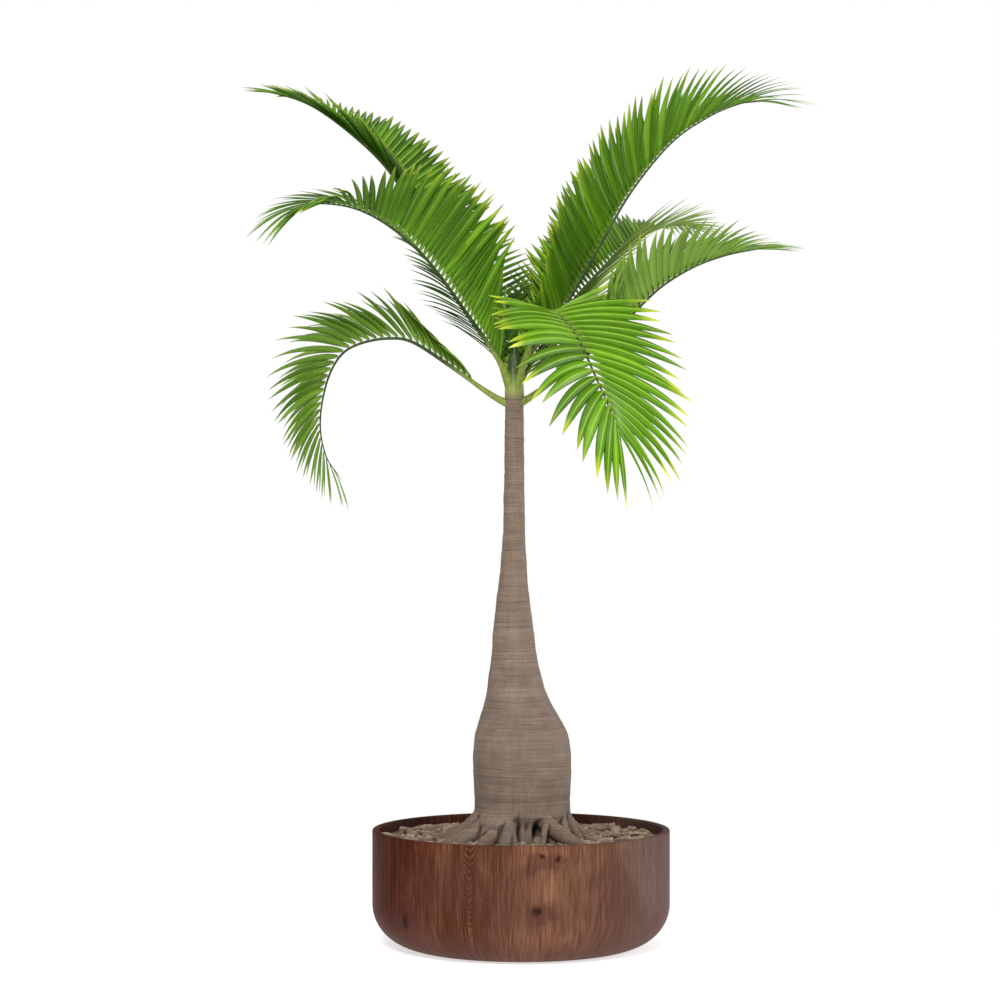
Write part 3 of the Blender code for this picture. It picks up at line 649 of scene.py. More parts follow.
def leaf_scar_step(z):
    """The stem's small outward steps, one to each old leaf."""
    t = (z - FLARE_TOP) % RING_SPACING
    if z < FLARE_TOP or z > TRUNK_TOP - RING_SPACING:
        return 0.0
    if t < RING_LEDGE:
        return RING_STEP * (1 - 2 * smooth_step(t / RING_LEDGE))
    return RING_STEP * (2 * smooth_step((t - RING_LEDGE) / (RING_SPACING - RING_LEDGE)) - 1)


def build_stem(material):
    """The finely ringed stem, from just above the roots to the crown."""
    heights, depths = scar_table()
    skin = Skin("groove")
    rings = []
    rows = int((TRUNK_TOP - STEM_FOOT) / STEM_ROW)
    for k in range(rows + 1):
        z = STEM_FOOT + (TRUNK_TOP - STEM_FOOT) * k / rows
        base = smooth_value(STEM_PROFILE, z) + leaf_scar_step(z)
        radii, grooves = [], []
        for a in circle_angles(STEM_SIDES):
            x, y = math.cos(a) * base, math.sin(a) * base
            wave = STEM_WAVE * rough(x * 1.5, y * 1.5, z, 14)
            strength = 0.65 + 0.75 * rough(x, y, z + 3.0, 42)
            groove = float(np.interp(z + wave, heights, depths)) * max(strength, 0.0)
            swell = STEM_SWELLS[0] * rough(x, y, z, 22) + STEM_SWELLS[1] * rough(x, y, z, 120)
            radii.append(base - groove + swell)
            # The groove mark darkens the fine rings: darker bark with painted shade.
            grooves.append(groove / SCAR_DEPTHS[1])
        ring = level_ring(radii, z, smooth_value(STEM_LEAN, z))
        rings.append(skin.ring(ring, groove=grooves))
    tuck(skin, rings[0], smooth_value(STEM_LEAN, STEM_FOOT))
    skin.tube(rings)
    dress(make_piece("trunk_stem", skin), material, "palm_bark", "trunk")


def tuck(skin, ring, axis_x):
    """Draws a ring in towards the axis, so that its edge hides inside the root flare."""
    for i in ring:
        x, y, z = skin.points[i]
        r = math.hypot(x - axis_x, y)
        inner = r - STEM_TUCK
        skin.points[i] = (axis_x + (x - axis_x) * inner / r, y * inner / r, z)


def root_line(start, top, foot, reach, chance):
    """Middle points of a surface root on its way down from the stem, with a slight wander."""
    line = []
    wander = chance.uniform(-ROOT_WANDER, ROOT_WANDER)
    dive = ROOT_DIVE * (0.85 + 0.3 * chance.random())
    for k in range(ROOT_STEPS + 1):
        z = top + (ROOT_END - top) * k / ROOT_STEPS
        down = (top - z) / (top - ROOT_FOOT)
        out = (reach + 0.004) * min(down, 1.12) ** dive
        angle = math.radians(start + (foot - start) * min(down, 1) + wander * math.sin(5 * down))
        line.append((smooth_value(STEM_PROFILE, max(z, 0.2)) + out, angle, z))
    return line


def root_size(thick, thin, share):
    """Half-width of a root at a share of its way."""
    return thin + (thick - thin) * (1 - share) ** 1.1


def add_root(skin, line, thick, thin, sunk):
    """A tapering tube along (radius, angle, height) points, sunk into the stem at its start."""
    last = len(line) - 1
    centres = []
    for k, (r, a, z) in enumerate(line):
        share = k / last
        depth = sunk + (ROOT_PROUD - sunk) * smooth_step((share - 0.16) / 0.5)
        r -= root_size(thick, thin, share) * depth
        centres.append(Vector((smooth_value(STEM_LEAN, z) + r * math.cos(a), r * math.sin(a), z)))
    rings = []
    for k, centre in enumerate(centres):
        ahead = centres[min(k + 1, last)] - centres[max(k - 1, 0)]
        ahead.normalize()
        side = ahead.cross(Vector((0, 0, 1))).normalized()
        up = side.cross(ahead)
        size = root_size(thick, thin, k / last)
        knob = 1 + ROOT_KNOBS * rough(*centre, 60)
        ring = []
        for a in circle_angles(ROOT_SIDES):
            spoke = side * math.cos(a) + up * ROOT_HEIGHT * math.sin(a)
            ring.append(centre + spoke * size * knob)
        rings.append(skin.ring(ring))
    skin.tube(rings)


def flare_body(skin):
    """The stem's own foot, which the roots grow out of."""
    rings = []
    for z in np.linspace(FLARE_FOOT, FLARE_TOP + FLARE_LIP, FLARE_ROWS):
        body = smooth_value(STEM_PROFILE, z)
        body -= FLARE_SINK * smooth_step((z - STEM_FOOT + 0.001) / 0.002)
        body += SKIRT_WIDTH * smooth_step((SKIRT_TOP - z) / (SKIRT_TOP - SKIRT_FOOT)) ** 1.6
        radii = []
        for a in circle_angles(FLARE_SIDES):
            # Shallow hollows run down between the roots.
            hollow = FLARE_DENT * smooth_step((0.250 - z) / 0.04)
            hollow *= 0.6 + 0.6 * math.sin(a * 9 + 1.0)
            for angle, width, depth, top in HOLLOWS:
                aside = (math.degrees(a) - angle) / width
                hollow += depth * math.exp(-(aside**2)) * smooth_step((top - z) / 0.030)
            radii.append(body - hollow)
        rings.append(skin.ring(level_ring(radii, z, smooth_value(STEM_LEAN, z))))
    skin.tube(rings)


def build_roots(material):
    """The root flare: the stem's foot and its roots, melted into one skin."""
    chance = random.Random(5)
    skin = Skin()
    flare_body(skin)
    for start, top, foot, reach, half_width, turn in ROOTS:
        line = root_line(start, top, foot, reach, chance)
        add_root(skin, line, half_width * ROOT_SHOULDER, half_width * ROOT_TIP, ROOT_SUNK)
        if turn:
            rest = line[int(FORK_START * ROOT_STEPS) :]
            fork = []
            for i, (r, a, z) in enumerate(rest):
                share = i / len(rest)
                fork.append((r - FORK_DROP * share, a + math.radians(turn) * share**0.8, z))
            thick, thin = (half_width * size for size in FORK_SIZES)
            add_root(skin, fork, thick, thin, FORK_SUNK)
    roots = make_piece("root_parts", skin)
    melt(roots)
    weather(roots.data)
    roots.data.shade_smooth()
    roots.name = "trunk_roots"
    dress(roots, material, "palm_bark", "trunk")


def melt(obj):
    """Joins overlapping closed shells into one smooth skin."""
    remesh = obj.modifiers.new("melt", "REMESH")
    remesh.mode = "VOXEL"
    remesh.voxel_size = ROOT_VOXEL
    relax = obj.modifiers.new("relax", "SMOOTH")
    relax.factor = 0.5
    relax.iterations = ROOT_RELAXING
    bpy.context.view_layer.update()
    graph = bpy.context.evaluated_depsgraph_get()
    mesh = bpy.data.meshes.new_from_object(obj.evaluated_get(graph))
    obj.modifiers.clear()
    obj.data = mesh


def recess_depths(mesh, places, normals):
    """How deep each point lies between the parts of the surface round it."""
    ends = np.empty(len(mesh.edges) * 2, dtype=np.int32)
    mesh.edges.foreach_get("vertices", ends)
    first, second = ends.reshape(-1, 2).T
    count = np.bincount(ends, minlength=len(places))
    smooth = places.copy()
    for _ in range(RECESS_ROUNDS):
        axes = []
        for axis in smooth.T:
            total = np.bincount(first, axis[second], len(places))
            total += np.bincount(second, axis[first], len(places))
            axes.append(total / count)
        smooth = np.stack(axes, axis=1)
    return ((smooth - places) * normals).sum(axis=1)


def weather(mesh):
    """Wrinkles the roots: creases along them and rings round the stem above."""
    places = np.array([v.co for v in mesh.vertices])
    normals = np.array([v.normal for v in mesh.vertices])
    recesses = np.clip(recess_depths(mesh, places, normals) / RECESS, 0.0, 1.0)
    recesses *= np.clip((0.252 - places[:, 2]) / 0.025, 0.0, 1.0)
    grooves = []
    for k, (x, y, z) in enumerate(places):
        angle = math.atan2(y, x)
        crease = noise.noise(Vector((angle * 26, z * 14, 1.0)))
        crease += 0.5 * noise.noise(Vector((angle * 61, z * 30, 4.0)))
        ring = noise.noise(Vector((angle * 1.5, z * 330, 7.0))) * smooth_step((z - 0.232) / 0.03)
        creased = smooth_step((SKIRT_TOP - z) / 0.03)
        normals[k] *= CREASE_DEPTH * crease * creased + WRINKLE_DEPTH * ring
        # The groove mark darkens the creases and rings, and paints shade deep in the recesses
        # between the roots.
        grooves.append(max(-(0.9 * crease + 0.8 * ring), 0.0) + 2.9 * float(recesses[k]))
    mesh.vertices.foreach_set("co", (places + normals).ravel())
    mesh.attributes.new("groove", "FLOAT", "POINT").data.foreach_set("value", grooves)


# The crownshaft.


def build_crown(material):
    """The green shaft of rolled leaf bases, with the fold of each base on its skin."""
    skin = Skin()
    axis_x = smooth_value(STEM_LEAN, TRUNK_TOP)
    top = CROWN_PROFILE[-1][0]
    rings = []
    for k in range(CROWN_ROWS + 1):
        h = top * k / CROWN_ROWS
        radius = smooth_value(CROWN_PROFILE, h)
        room = min(radius / FULL_CROWN, 1)
        radii = []
        for a in circle_angles(CROWN_SIDES):
            turn = (a * 3 / math.tau + h * 14) % 1.0
            fold = CROWN_FOLD * (turn - 0.5) * smooth_step(h / FULL_CROWN) * room
            ridge = CROWN_RIDGE * math.sin(a * 24 + h * 60)
            radii.append(radius + fold + ridge * room)
        rings.append(skin.ring(level_ring(radii, TRUNK_TOP + CROWN_GAP + h, axis_x)))
    skin.tube(rings)
    dress(make_piece("crown_sheaths", skin, 50), material, "leaf_sheath", "crownshaft")


# The fronds.


class Spine:
    """A smooth line through a frond's points, with a frame that the blade is built on."""

    def __init__(self, frond):
        self.frond = frond
        a = math.radians(frond.azimuth)
        outward = Vector((math.cos(a), math.sin(a), 0))
        self.side = Vector((-math.sin(a), math.cos(a), 0))
        axis = Vector((smooth_value(STEM_LEAN, TRUNK_TOP), 0, 0))
        self.line = smooth_line([axis + outward * r + Vector((0, 0, z)) for r, z in frond.spine])
        steps = [(q - p).length for p, q in zip(self.line, self.line[1:])]
        self.distances = np.concatenate([[0.0], np.cumsum(steps)])
        self.length = float(self.distances[-1])

    def point(self, distance):
        """The point at a distance along the spine."""
        return Vector([float(np.interp(distance, self.distances, c)) for c in zip(*self.line)])

    def frame(self, distance):
        """Point, forward, left and upper directions at a distance, with the blade's roll."""
        ahead = self.point(min(distance + SPINE_STEP, self.length))
        behind = self.point(max(distance - SPINE_STEP, 0.0))
        forward = (ahead - behind).normalized()
        left = (self.side - self.side.dot(forward) * forward).normalized()
        upper = forward.cross(left)
        roll = math.radians(interpolate(self.frond.roll, self.blade_share(distance)))
        rolled_left = left * math.cos(roll) - upper * math.sin(roll)
        rolled_upper = upper * math.cos(roll) + left * math.sin(roll)
        return self.point(distance), forward, rolled_left, rolled_upper

    def blade_share(self, distance):
        """0 at the first leaflet and 1 at the tip."""
        return min(max((distance - self.frond.stalk) / (self.length - self.frond.stalk), 0.0), 1.0)

    def stalk_size(self, distance):
        """Half-width and half-depth of the stalk and midrib."""
        start, end = self.frond.stalk, self.length
        knots = (0.0, start / 3, start, start + STALK_TAPER * (end - start), end)
        wide = self.frond.stalk_width
        widths = (wide, 0.8 * wide, *STALK_WIDTHS)
        return [float(np.interp(distance, knots, sizes)) for sizes in (widths, STALK_DEPTHS)]

    def stations(self):
        """The distances of the leaflet pairs along the spine."""
        room = self.length - self.frond.stalk
        count = int(room / self.frond.pitch)
        return [self.frond.stalk + room * (k + 0.5) / count for k in range(count)]


class Leaflet:
    """One leaflet: where it starts, where it points, how long it is and how it hangs."""

    def __init__(self, spine, distance, side, bend, luck):
        shorten, lift, fold = bend
        frond = spine.frond
        share = spine.blade_share(distance)
        here, forward, left, upper = spine.frame(distance)
        vee = math.radians(interpolate(frond.vee, share) - lift + LUCK[0] * luck[0])
        rake = math.radians(interpolate(frond.rake, share) * (1 - fold) + LUCK[1] * luck[1])
        sweep = interpolate(frond.sweep, share)
        rake += math.atan(sweep) * math.sin(rake)
        spread = upper * math.cos(vee) + left * side * math.sin(vee)
        self.out = spread * math.sin(rake) + forward * math.cos(rake)
        self.inner = upper * math.sin(vee) - left * side * math.cos(vee)
        self.forward = forward
        self.length = shorten * frond.leaflet * interpolate(frond.lengths, share)
        self.length *= 1 + LUCK[2] * luck[2]
        twist, wide, self.dull = frond.twist, frond.width, frond.dull[0]
        if side < 0:
            self.length *= interpolate(frond.far_lengths, share)
            wide *= frond.far_width
            twist = frond.far_twist or twist
            self.dull = frond.dull[1]
        wide *= 1 - (1 - frond.tip_width) * smooth_step((share - 0.62) / 0.38)
        room = LEAFLET_SPACE * frond.pitch * math.sin(rake)
        self.width = wide * min(LEAFLET_WIDTH, max(room, LEAFLET_WIDTH * LEAST_WIDTH))
        droop = frond.droop * (1 + LUCK[3] * luck[3])
        droop += frond.tip_droop * smooth_step((share - 0.6) / 0.4)
        self.sag = droop * (Vector((0, 0, -1)) + self.out * self.out.z)
        self.sag += sweep * (forward - self.out * forward.dot(self.out))
        self.root = here + (upper + left * side) * 0.5 * spine.stalk_size(distance)[0]
        self.twist = math.radians(interpolate(twist, share))
        self.wave = luck

    def frame(self, along):
        """Middle point, edge direction and face direction at a share of the length."""
        direction = (self.out + self.sag * (2 * along)).normalized()
        edge = (self.forward - self.forward.dot(direction) * direction).normalized()
        face = direction.cross(edge)
        if face.dot(self.inner) < 0:
            face = -face
        turned_edge = edge * math.cos(self.twist) + face * math.sin(self.twist)
        turned_face = face * math.cos(self.twist) - edge * math.sin(self.twist)
        ripple = LEAFLET_RIPPLE * math.sin(7 * along + 3 * self.wave[0]) * self.wave[1] * along
        middle = self.root + self.length * (self.out * along + self.sag * along**2)
        return middle + turned_face * ripple, turned_edge, turned_face

    def width_at(self, along):
        """The width at a share of the length."""
        places, shares = zip(*LEAFLET_OUTLINE)
        return self.width * float(np.interp(along, places, shares))


def probe(leaflet):
    """Points of a coarse copy of a leaflet, for testing what it touches."""
    points = []
    for along in PROBE_ROWS:
        middle, edge, face = leaflet.frame(along)
        width = leaflet.width_at(along)
        half = edge * width / 2
        points += [middle + face * LEAFLET_FOLD * width, middle + half, middle - half]
    return points


def is_clear(leaflet, others):
    """True if a leaflet keeps its distance from the other fronds."""
    points = probe(leaflet)
    tree = BVHTree.FromPolygons(points, tube_faces(len(PROBE_ROWS), 3))
    if any(tree.overlap(other) for other in others):
        return False
    return not any(other.find_nearest(spot, CLEARANCE)[0] for other in others for spot in points)


def midrib_ring(spine, distance):
    """The round section of the stalk and midrib, with a channel along the stalk's upper side."""
    here, _, left, upper = spine.frame(distance)
    width, depth = spine.stalk_size(distance)
    channel = 0.40 * smooth_step((distance - 0.015) / 0.02) * (1 - 0.6 * spine.blade_share(distance))
    ring = []
    for a in circle_angles(MIDRIB_SIDES):
        across, up = math.cos(a), math.sin(a)
        if up > 0:
            up *= 1 - channel * math.exp(-((2.2 * across) ** 2))
        ring.append(here + left * width * across + upper * depth * up)
    return ring


def midrib_distances(spine):
    """The distances of the midrib's rings."""
    count = int(spine.length / MIDRIB_ROW)
    return [spine.length * k / count for k in range(count + 1)]


def midrib_tree(spine):
    """A search tree of a frond's stalk and midrib."""
    rings = [midrib_ring(spine, distance) for distance in midrib_distances(spine)[::3]]
    points = [point for ring in rings for point in ring]
    return BVHTree.FromPolygons(points, tube_faces(len(rings), MIDRIB_SIDES))


def grow_leaflets(spine, others, chance):
    """The frond's leaflets, each clear of the other fronds, and the search tree of all."""
    leaflets, verts, faces = [], [], []
    choices = list(itertools.product(SHORTENINGS, LIFTS, FOLDS))
    for distance, side in itertools.product(spine.stations(), (1, -1)):
        luck = [chance.uniform(-1, 1) for _ in range(4)]
        for bend in choices:
            leaflet = Leaflet(spine, distance, side, bend, luck)
            if is_clear(leaflet, others):
                leaflets.append(leaflet)
                faces += tube_faces(len(PROBE_ROWS), 3, len(verts))
                verts += probe(leaflet)
                break
    return leaflets, BVHTree.FromPolygons(verts, faces)


def add_midrib(skin, spine):
    """The stalk and midrib, which end in a point past the last leaflets."""
    rings = []
    under = [0.5 - 0.5 * math.sin(a) for a in circle_angles(MIDRIB_SIDES)]
    for distance in midrib_distances(spine):
        share = spine.blade_share(distance)
        base = 1 - smooth_step(distance / spine.frond.stalk)
        ring = midrib_ring(spine, distance)
        rings.append(skin.ring(ring, rib=1.0, along=share, under=under, base=base))
    end, forward, _, _ = spine.frame(spine.length)
    for step in (0.4, 0.75, 1.0):
        moved = [end + (p - end) * (1.06 - step) + forward * MIDRIB_TIP * step for p in ring]
        rings.append(skin.ring(moved, rib=1.0, along=1.0, under=0.5))
    skin.tube(rings)


def add_leaflet(skin, leaflet, tone, gold):
    """A thin folded blade with a pointed tip."""
    rings = []
    across, _, under = zip(*LEAFLET_SECTION)
    for along in LEAFLET_ROWS:
        middle, edge, face = leaflet.frame(along)
        width = leaflet.width_at(along)
        fold = LEAFLET_FOLD * (1 + 1.3 * (1 - smooth_step(along / 0.15)))
        thick = LEAFLET_THICKNESS * (1.0 - 0.45 * along)
        ring = []
        for place, height, below in LEAFLET_SECTION:
            drop = thick if below == 1.0 else 0.0
            ring.append(middle + edge * place * width / 2 + face * (height * fold * width - drop))
        marks = {"along": along, "across": across, "under": under, "tone": tone, "gold": gold}
        rings.append(skin.ring(ring, dull=leaflet.dull, **marks))
    skin.tube(rings)


def build_fronds(material):
    """All fronds. Each one's leaflets keep clear of every midrib and of the fronds before it."""
    chance = random.Random(23)
    spines = [Spine(frond) for frond in FRONDS]
    midribs = [midrib_tree(spine) for spine in spines]
    blades = []
    for k, spine in enumerate(spines):
        frond = spine.frond
        others = [*midribs[:k], *midribs[k + 1 :], *blades]
        leaflets, tree = grow_leaflets(spine, others, chance)
        blades.append(tree)
        skin = Skin(*LEAF_MARKS)
        add_midrib(skin, spine)
        for leaflet in leaflets:
            gold = frond.gold * chance.random() ** 0.8
            add_leaflet(skin, leaflet, frond.light * chance.random(), gold)
        dress(make_piece(frond.name + "_blade", skin), material, "palm_leaf", frond.name)


# Materials. Colours are as seen on a screen, 0 to 255, and stretches are lumps per metre.

WALNUT_PLACES = (0.40, 0.54, 0.66, 0.83)  # where the grain's colours lie, dark to pale
WALNUT_BROWN = ((46, 20, 11), (86, 50, 33), (120, 83, 60), (158, 120, 92))
WALNUT_RED = ((40, 8, 2), (58, 16, 5), (76, 26, 9), (112, 54, 28))
# Greyed grain colours for the painted sheen on the bowl's right side.
WALNUT_PAINTED_SHEEN = ((68, 56, 55), (82, 69, 67), (96, 83, 82), (116, 102, 99))
MIX_TONES = (
    (0.34, (36, 25, 19)),
    (0.54, (88, 69, 56)),
    (0.74, (134, 110, 94)),
    (0.98, (186, 162, 142)),
)
BARK_TONES = (
    (0.40, (82, 66, 54)),
    (0.57, (112, 94, 80)),
    (0.70, (132, 114, 99)),
    (0.86, (162, 146, 130)),
)
SHEATH_TONES = (  # from the trunk up; the dark green at the top is partly painted shade under the fronds
    (0.00, (122, 104, 78)),
    (0.08, (146, 140, 84)),
    (0.26, (146, 158, 76)),
    (0.60, (100, 122, 42)),
    (1.00, (44, 66, 24)),
)
LEAF_TONES = (
    (0.28, (24, 54, 0)),
    (0.54, (48, 90, 1)),
    (0.80, (82, 131, 6)),
    (1.00, (122, 170, 20)),
)
DARK_RIB_TONES = ((0.35, (70, 98, 34)), (0.75, (36, 56, 24)))
PALE_RIB_TONES = ((0.3, (98, 120, 42)), (0.7, (146, 160, 74)))


def linear(red, green, blue):
    """A colour as seen on a screen turned into the shader's linear values."""
    values = [c / 255 for c in (red, green, blue)]
    return (*(v / 12.92 if v <= 0.04045 else ((v + 0.055) / 1.055) ** 2.4 for v in values), 1.0)


class Wire:
    """What comes out of a node. Sums with it are written as plain arithmetic."""

    def __init__(self, paint, socket):
        self.paint = paint
        self.socket = socket

    def __add__(self, other):
        return self.paint.math("ADD", self, other)

    def __radd__(self, other):
        # sum() starts from 0.
        return self if other == 0 else self + other

    def __sub__(self, other):
        return self.paint.math("SUBTRACT", self, other)

    def __mul__(self, other):
        return self.paint.math("MULTIPLY", self, other)

    def __truediv__(self, other):
        return self.paint.math("DIVIDE", self, other)


class Paint:
    """Short calls that build the nodes of one material."""

    def __init__(self, name):
        self.material = bpy.data.materials.new(name)
        self.material.use_nodes = True
        self.tree = self.material.node_tree
        self.shader = self.tree.nodes["Principled BSDF"]

    def feed(self, value, socket):
        """Links a wire to an input, or sets the input to a number or a colour."""
        if isinstance(value, Wire):
            self.tree.links.new(value.socket, socket)
        elif isinstance(value, tuple) and len(value) == 3:
            socket.default_value = linear(*value)
        else:
            socket.default_value = value

    def node(self, kind, inputs=None, **settings):
        """Adds a node with its settings and inputs."""
        made = self.tree.nodes.new(kind)
        for name, value in settings.items():
            setattr(made, name, value)
        for key, value in (inputs or {}).items():
            self.feed(value, made.inputs[key])
        return made

    def wire(self, kind, inputs=None, out=0, **settings):
        """Adds a node and gives one of its outputs."""
        return Wire(self, self.node(kind, inputs, **settings).outputs[out])

    def place(self):
        """X, Y and Z of the point being shaded."""
        whole = self.wire("ShaderNodeTexCoord", out="Object")
        return [Wire(self, axis) for axis in self.node("ShaderNodeSeparateXYZ", {0: whole}).outputs]

    def mark(self, name):
        """A number kept at the mesh's points."""
        return self.wire("ShaderNodeAttribute", out="Fac", attribute_name=name)

    def math(self, operation, first, second=0.0):
        """One sum."""
        return self.wire("ShaderNodeMath", {0: first, 1: second}, operation=operation)

    def vector(self, place):
        """Three numbers as one place."""
        return self.wire("ShaderNodeCombineXYZ", dict(enumerate(place)))

    def cloud(self, place, stretch=None, layer=0.0, scale=1.0, detail=2.0, **more):
        """Smooth noise from 0 to 1 at a place, which may be stretched and moved to a layer."""
        if stretch:
            x, y, z = (axis * factor for axis, factor in zip(place, stretch))
            place = (x, y, z + layer)
        inputs = {"Vector": self.vector(place), "Scale": scale, "Detail": detail, "Roughness": 0.55}
        return self.wire("ShaderNodeTexNoise", inputs | more, "Fac")

    def cells(self, place, scale):
        """Patches like chips: a number from 0 to 1 for each, and the distance to its edge."""
        inputs = {"Vector": self.vector(place), "Scale": scale}
        patch = self.wire("ShaderNodeTexVoronoi", inputs, "Color")
        edge = self.wire("ShaderNodeTexVoronoi", inputs, "Distance", feature="DISTANCE_TO_EDGE")
        return self.wire("ShaderNodeSeparateColor", {0: patch}), edge

    def span(self, value, low, high, start=0.0, end=1.0):
        """Maps low..high to start..end, with an eased step."""
        inputs = {"Value": value, "From Min": low, "From Max": high, "To Min": start, "To Max": end}
        return self.wire("ShaderNodeMapRange", inputs, "Result", interpolation_type="SMOOTHSTEP")

    def ramp(self, value, stops):
        """Colours at places from 0 to 1."""
        made = self.node("ShaderNodeValToRGB", {"Fac": value})
        elements = made.color_ramp.elements
        while len(elements) < len(stops):
            elements.new(0.5)
        for element, (place, color) in zip(elements, stops):
            element.position = place
            element.color = linear(*color)
        return Wire(self, made.outputs["Color"])

    def layers(self, color, *layers):
        """Lays colours over the first one, each by its share."""
        for share, over in layers:
            color = self.wire("ShaderNodeMix", {0: share, 6: color, 7: over}, 2, data_type="RGBA")
        return color

    def bump(self, height, distance, strength):
        """Fine relief, in metres."""
        inputs = {"Height": height, "Distance": distance, "Strength": strength}
        self.feed(self.wire("ShaderNodeBump", inputs), self.shader.inputs["Normal"])

    def finish(self, color, roughness, **values):
        """Sets the shader's colour, roughness and other values."""
        for name, value in {"Base Color": color, "Roughness": roughness, **values}.items():
            self.feed(value, self.shader.inputs[name.replace("_", " ")])
        return self.material


def knot_marks(p, around, z, ragged, uneven):
    """Round the knots: the pull on the grain, the dark cores and the halos."""
    pulls, cores, halo = [], [], None
    for place, height, size, flat in KNOTS:
        aside = around - place
        above = (z - height) * flat
        far = p.math("SQRT", aside * aside + above * above)
        pulls.append(p.span(far, 0.0, size * KNOT_PULL, 1.0, 0.0))
        cores.append(p.span(far + ragged, *(size * reach for reach in KNOT_CORE), 1.0, 0.0))
        shade = p.span(far + uneven, size, size * KNOT_HALO, 1.0, 0.0)
        halo = p.math("MAXIMUM", halo, shade) if halo else shade
    return sum(pulls), sum(cores), halo


def arch_lines(p, around, z, figure, swirl):
    """The lines of the arched figure, from -1 to 1, and 0 away from it."""
    parts = []
    for place, height, half_width in ARCHES:
        aside = around - place + figure * 0.03 + swirl * 0.016
        rise = p.math("SQRT", aside * aside + ARCH_ROUND**2) * ARCH_SLOPE
        line = p.math("SINE", (z + swirl * 0.050 - rise) * (math.tau / ARCH_PITCH))
        room = p.span(p.math("ABSOLUTE", aside), half_width * 0.4, half_width, 1.0, 0.0)
        parts.append(line * (room * p.span(z, height, height + ARCH_FADE)))
    return sum(parts)


def walnut_material():
    """Oiled walnut: upright grain, arched figure, fine pores and a few knots, with a painted sheen
    on the right side and painted shade on the lower edge and the inner wall.
    """
    p = Paint("walnut_grain")
    x, y, z = p.place()
    around = p.math("ARCTAN2", x, y * -1.0) * BOWL_RADIUS
    reach = p.math("MAXIMUM", p.math("SQRT", x * x + y * y), 0.001)
    side = x / reach * BOWL_RADIUS
    grain = (side, y / reach * BOWL_RADIUS, z)
    ragged = (p.cloud(grain, (170, 170, 130), 4.4, detail=3) - 0.5) * 0.020
    swirl = p.cloud(grain, (16, 16, 22), 12.2)
    pull, knot, halo = knot_marks(p, around, z, ragged, (swirl - 0.5) * 0.12)
    figure = p.cloud(grain, (10, 10, 1.5), 3.7, detail=1, Distortion=0.35) + pull * 0.035
    rings = p.span(p.math("SINE", figure * 170), -0.9, 1.0)
    arches = arch_lines(p, around, z, figure, swirl)
    streaks = p.cloud(grain, (130, 130, 7), 5.1, detail=4)
    fibres = p.cloud(grain, (480, 480, 24), 1.3, detail=3)
    boards = p.cloud(grain, (9, 9, 3.2), 9.4, detail=1.5)
    purple = p.cloud(grain, (6, 6, 7), 21.0, detail=1.5)
    red = p.cloud(grain, (4.2, 4.2, 1.5), 33.0, detail=1)
    pores = p.span(p.cloud(grain, (900, 900, 34), 2.2), 0.60, 0.72, 0.0, 0.45)
    tone = rings * 0.04 + streaks * 0.31 + fibres * 0.41 + boards * 0.44 + arches * 0.066
    brown_wood, red_wood, painted_sheen_wood = (
        p.ramp(tone, list(zip(WALNUT_PLACES, colors)))
        for colors in (WALNUT_BROWN, WALNUT_RED, WALNUT_PAINTED_SHEEN)
    )
    wander = side + streaks * 0.10
    inside = p.span(reach, BOWL_RADIUS - 0.009, BOWL_RADIUS - 0.012, 0.0, 0.50)
    wood = p.layers(
        brown_wood,
        (p.span(wander, 0.02, -0.19, 0.0, 0.93), red_wood),
        # painted sheen on the right side: greyer grain
        (p.span(wander, 0.19, 0.31, 0.0, 0.85), painted_sheen_wood),
        (p.span(wander, 0.08, 0.24, 0.0, 0.45), (98, 74, 65)),  # painted sheen to the right, calming the grain
        (inside * p.span(z, 0.13, 0.15), (38, 20, 15)),  # the shaded inner wall
        (p.span(purple, 0.48, 0.70, 0.0, 0.50), (80, 48, 42)),
        (p.span(red, 0.50, 0.66, 0.0, 0.40), (84, 40, 24)),
        (halo * halo * 0.54, (66, 36, 33)),  # round the knots
        (pores, (52, 27, 20)),
        (p.span(z, 0.085, 0.010, 0.0, 0.66), (84, 54, 46)),  # painted shade: darker and greyer on the rounded lower edge
        (knot * 0.82, (32, 15, 11)),
    )
    p.bump(fibres * 0.5 + pores * -0.7 + streaks * 0.3, 0.00025, 0.6)
    gloss = p.span(fibres, 0.2, 0.8, 0.62, 0.50)
    return p.finish(wood, gloss, Specular_IOR_Level=0.12, IOR=1.32)


def mix_material():
    """Dry bark mix: pale crests and dark hollows, painted as light and shade from the relief, and
    flecks.
    """
    p = Paint("bark_mix")
    place = p.place()
    relief = p.mark("relief")
    lumps = p.cloud(place, scale=75, detail=4)
    grit = p.cloud(place, scale=900, detail=3)
    fibre = p.cloud(place, (120, 640, 200), detail=3, Distortion=0.6)
    warm = p.cloud(place, scale=22)
    warped = [axis + part * 0.012 for axis, part in zip(place, (lumps, fibre, grit))]
    chip, edge = p.cells(warped, 105)
    # Crests are painted paler and hollows darker: painted light and shade from the relief.
    painted_relief_light = p.span(relief, -1.3, 1.3)
    tone = painted_relief_light * 0.50 + lumps * 0.34 + grit * 0.14 + fibre * 0.22 + chip * 0.18
    color = p.layers(
        p.ramp(tone, MIX_TONES),
        (p.span(edge, 0.0, 0.10, 0.36, 0.0), (54, 40, 32)),  # painted shade in the gaps between the chips
        (p.span(relief, -1.00, -0.40, 0.68, 0.0), (42, 29, 22)),  # painted shade in the cracks
        (p.span(warm, 0.45, 0.7, 0.0, 0.30), (128, 98, 76)),  # warmer patches
    )
    p.bump(grit * 0.5 + fibre * 0.6 + lumps * 0.6, 0.0012, 0.8)
    return p.finish(color, p.span(lumps, 0.3, 0.7, 0.95, 0.82))


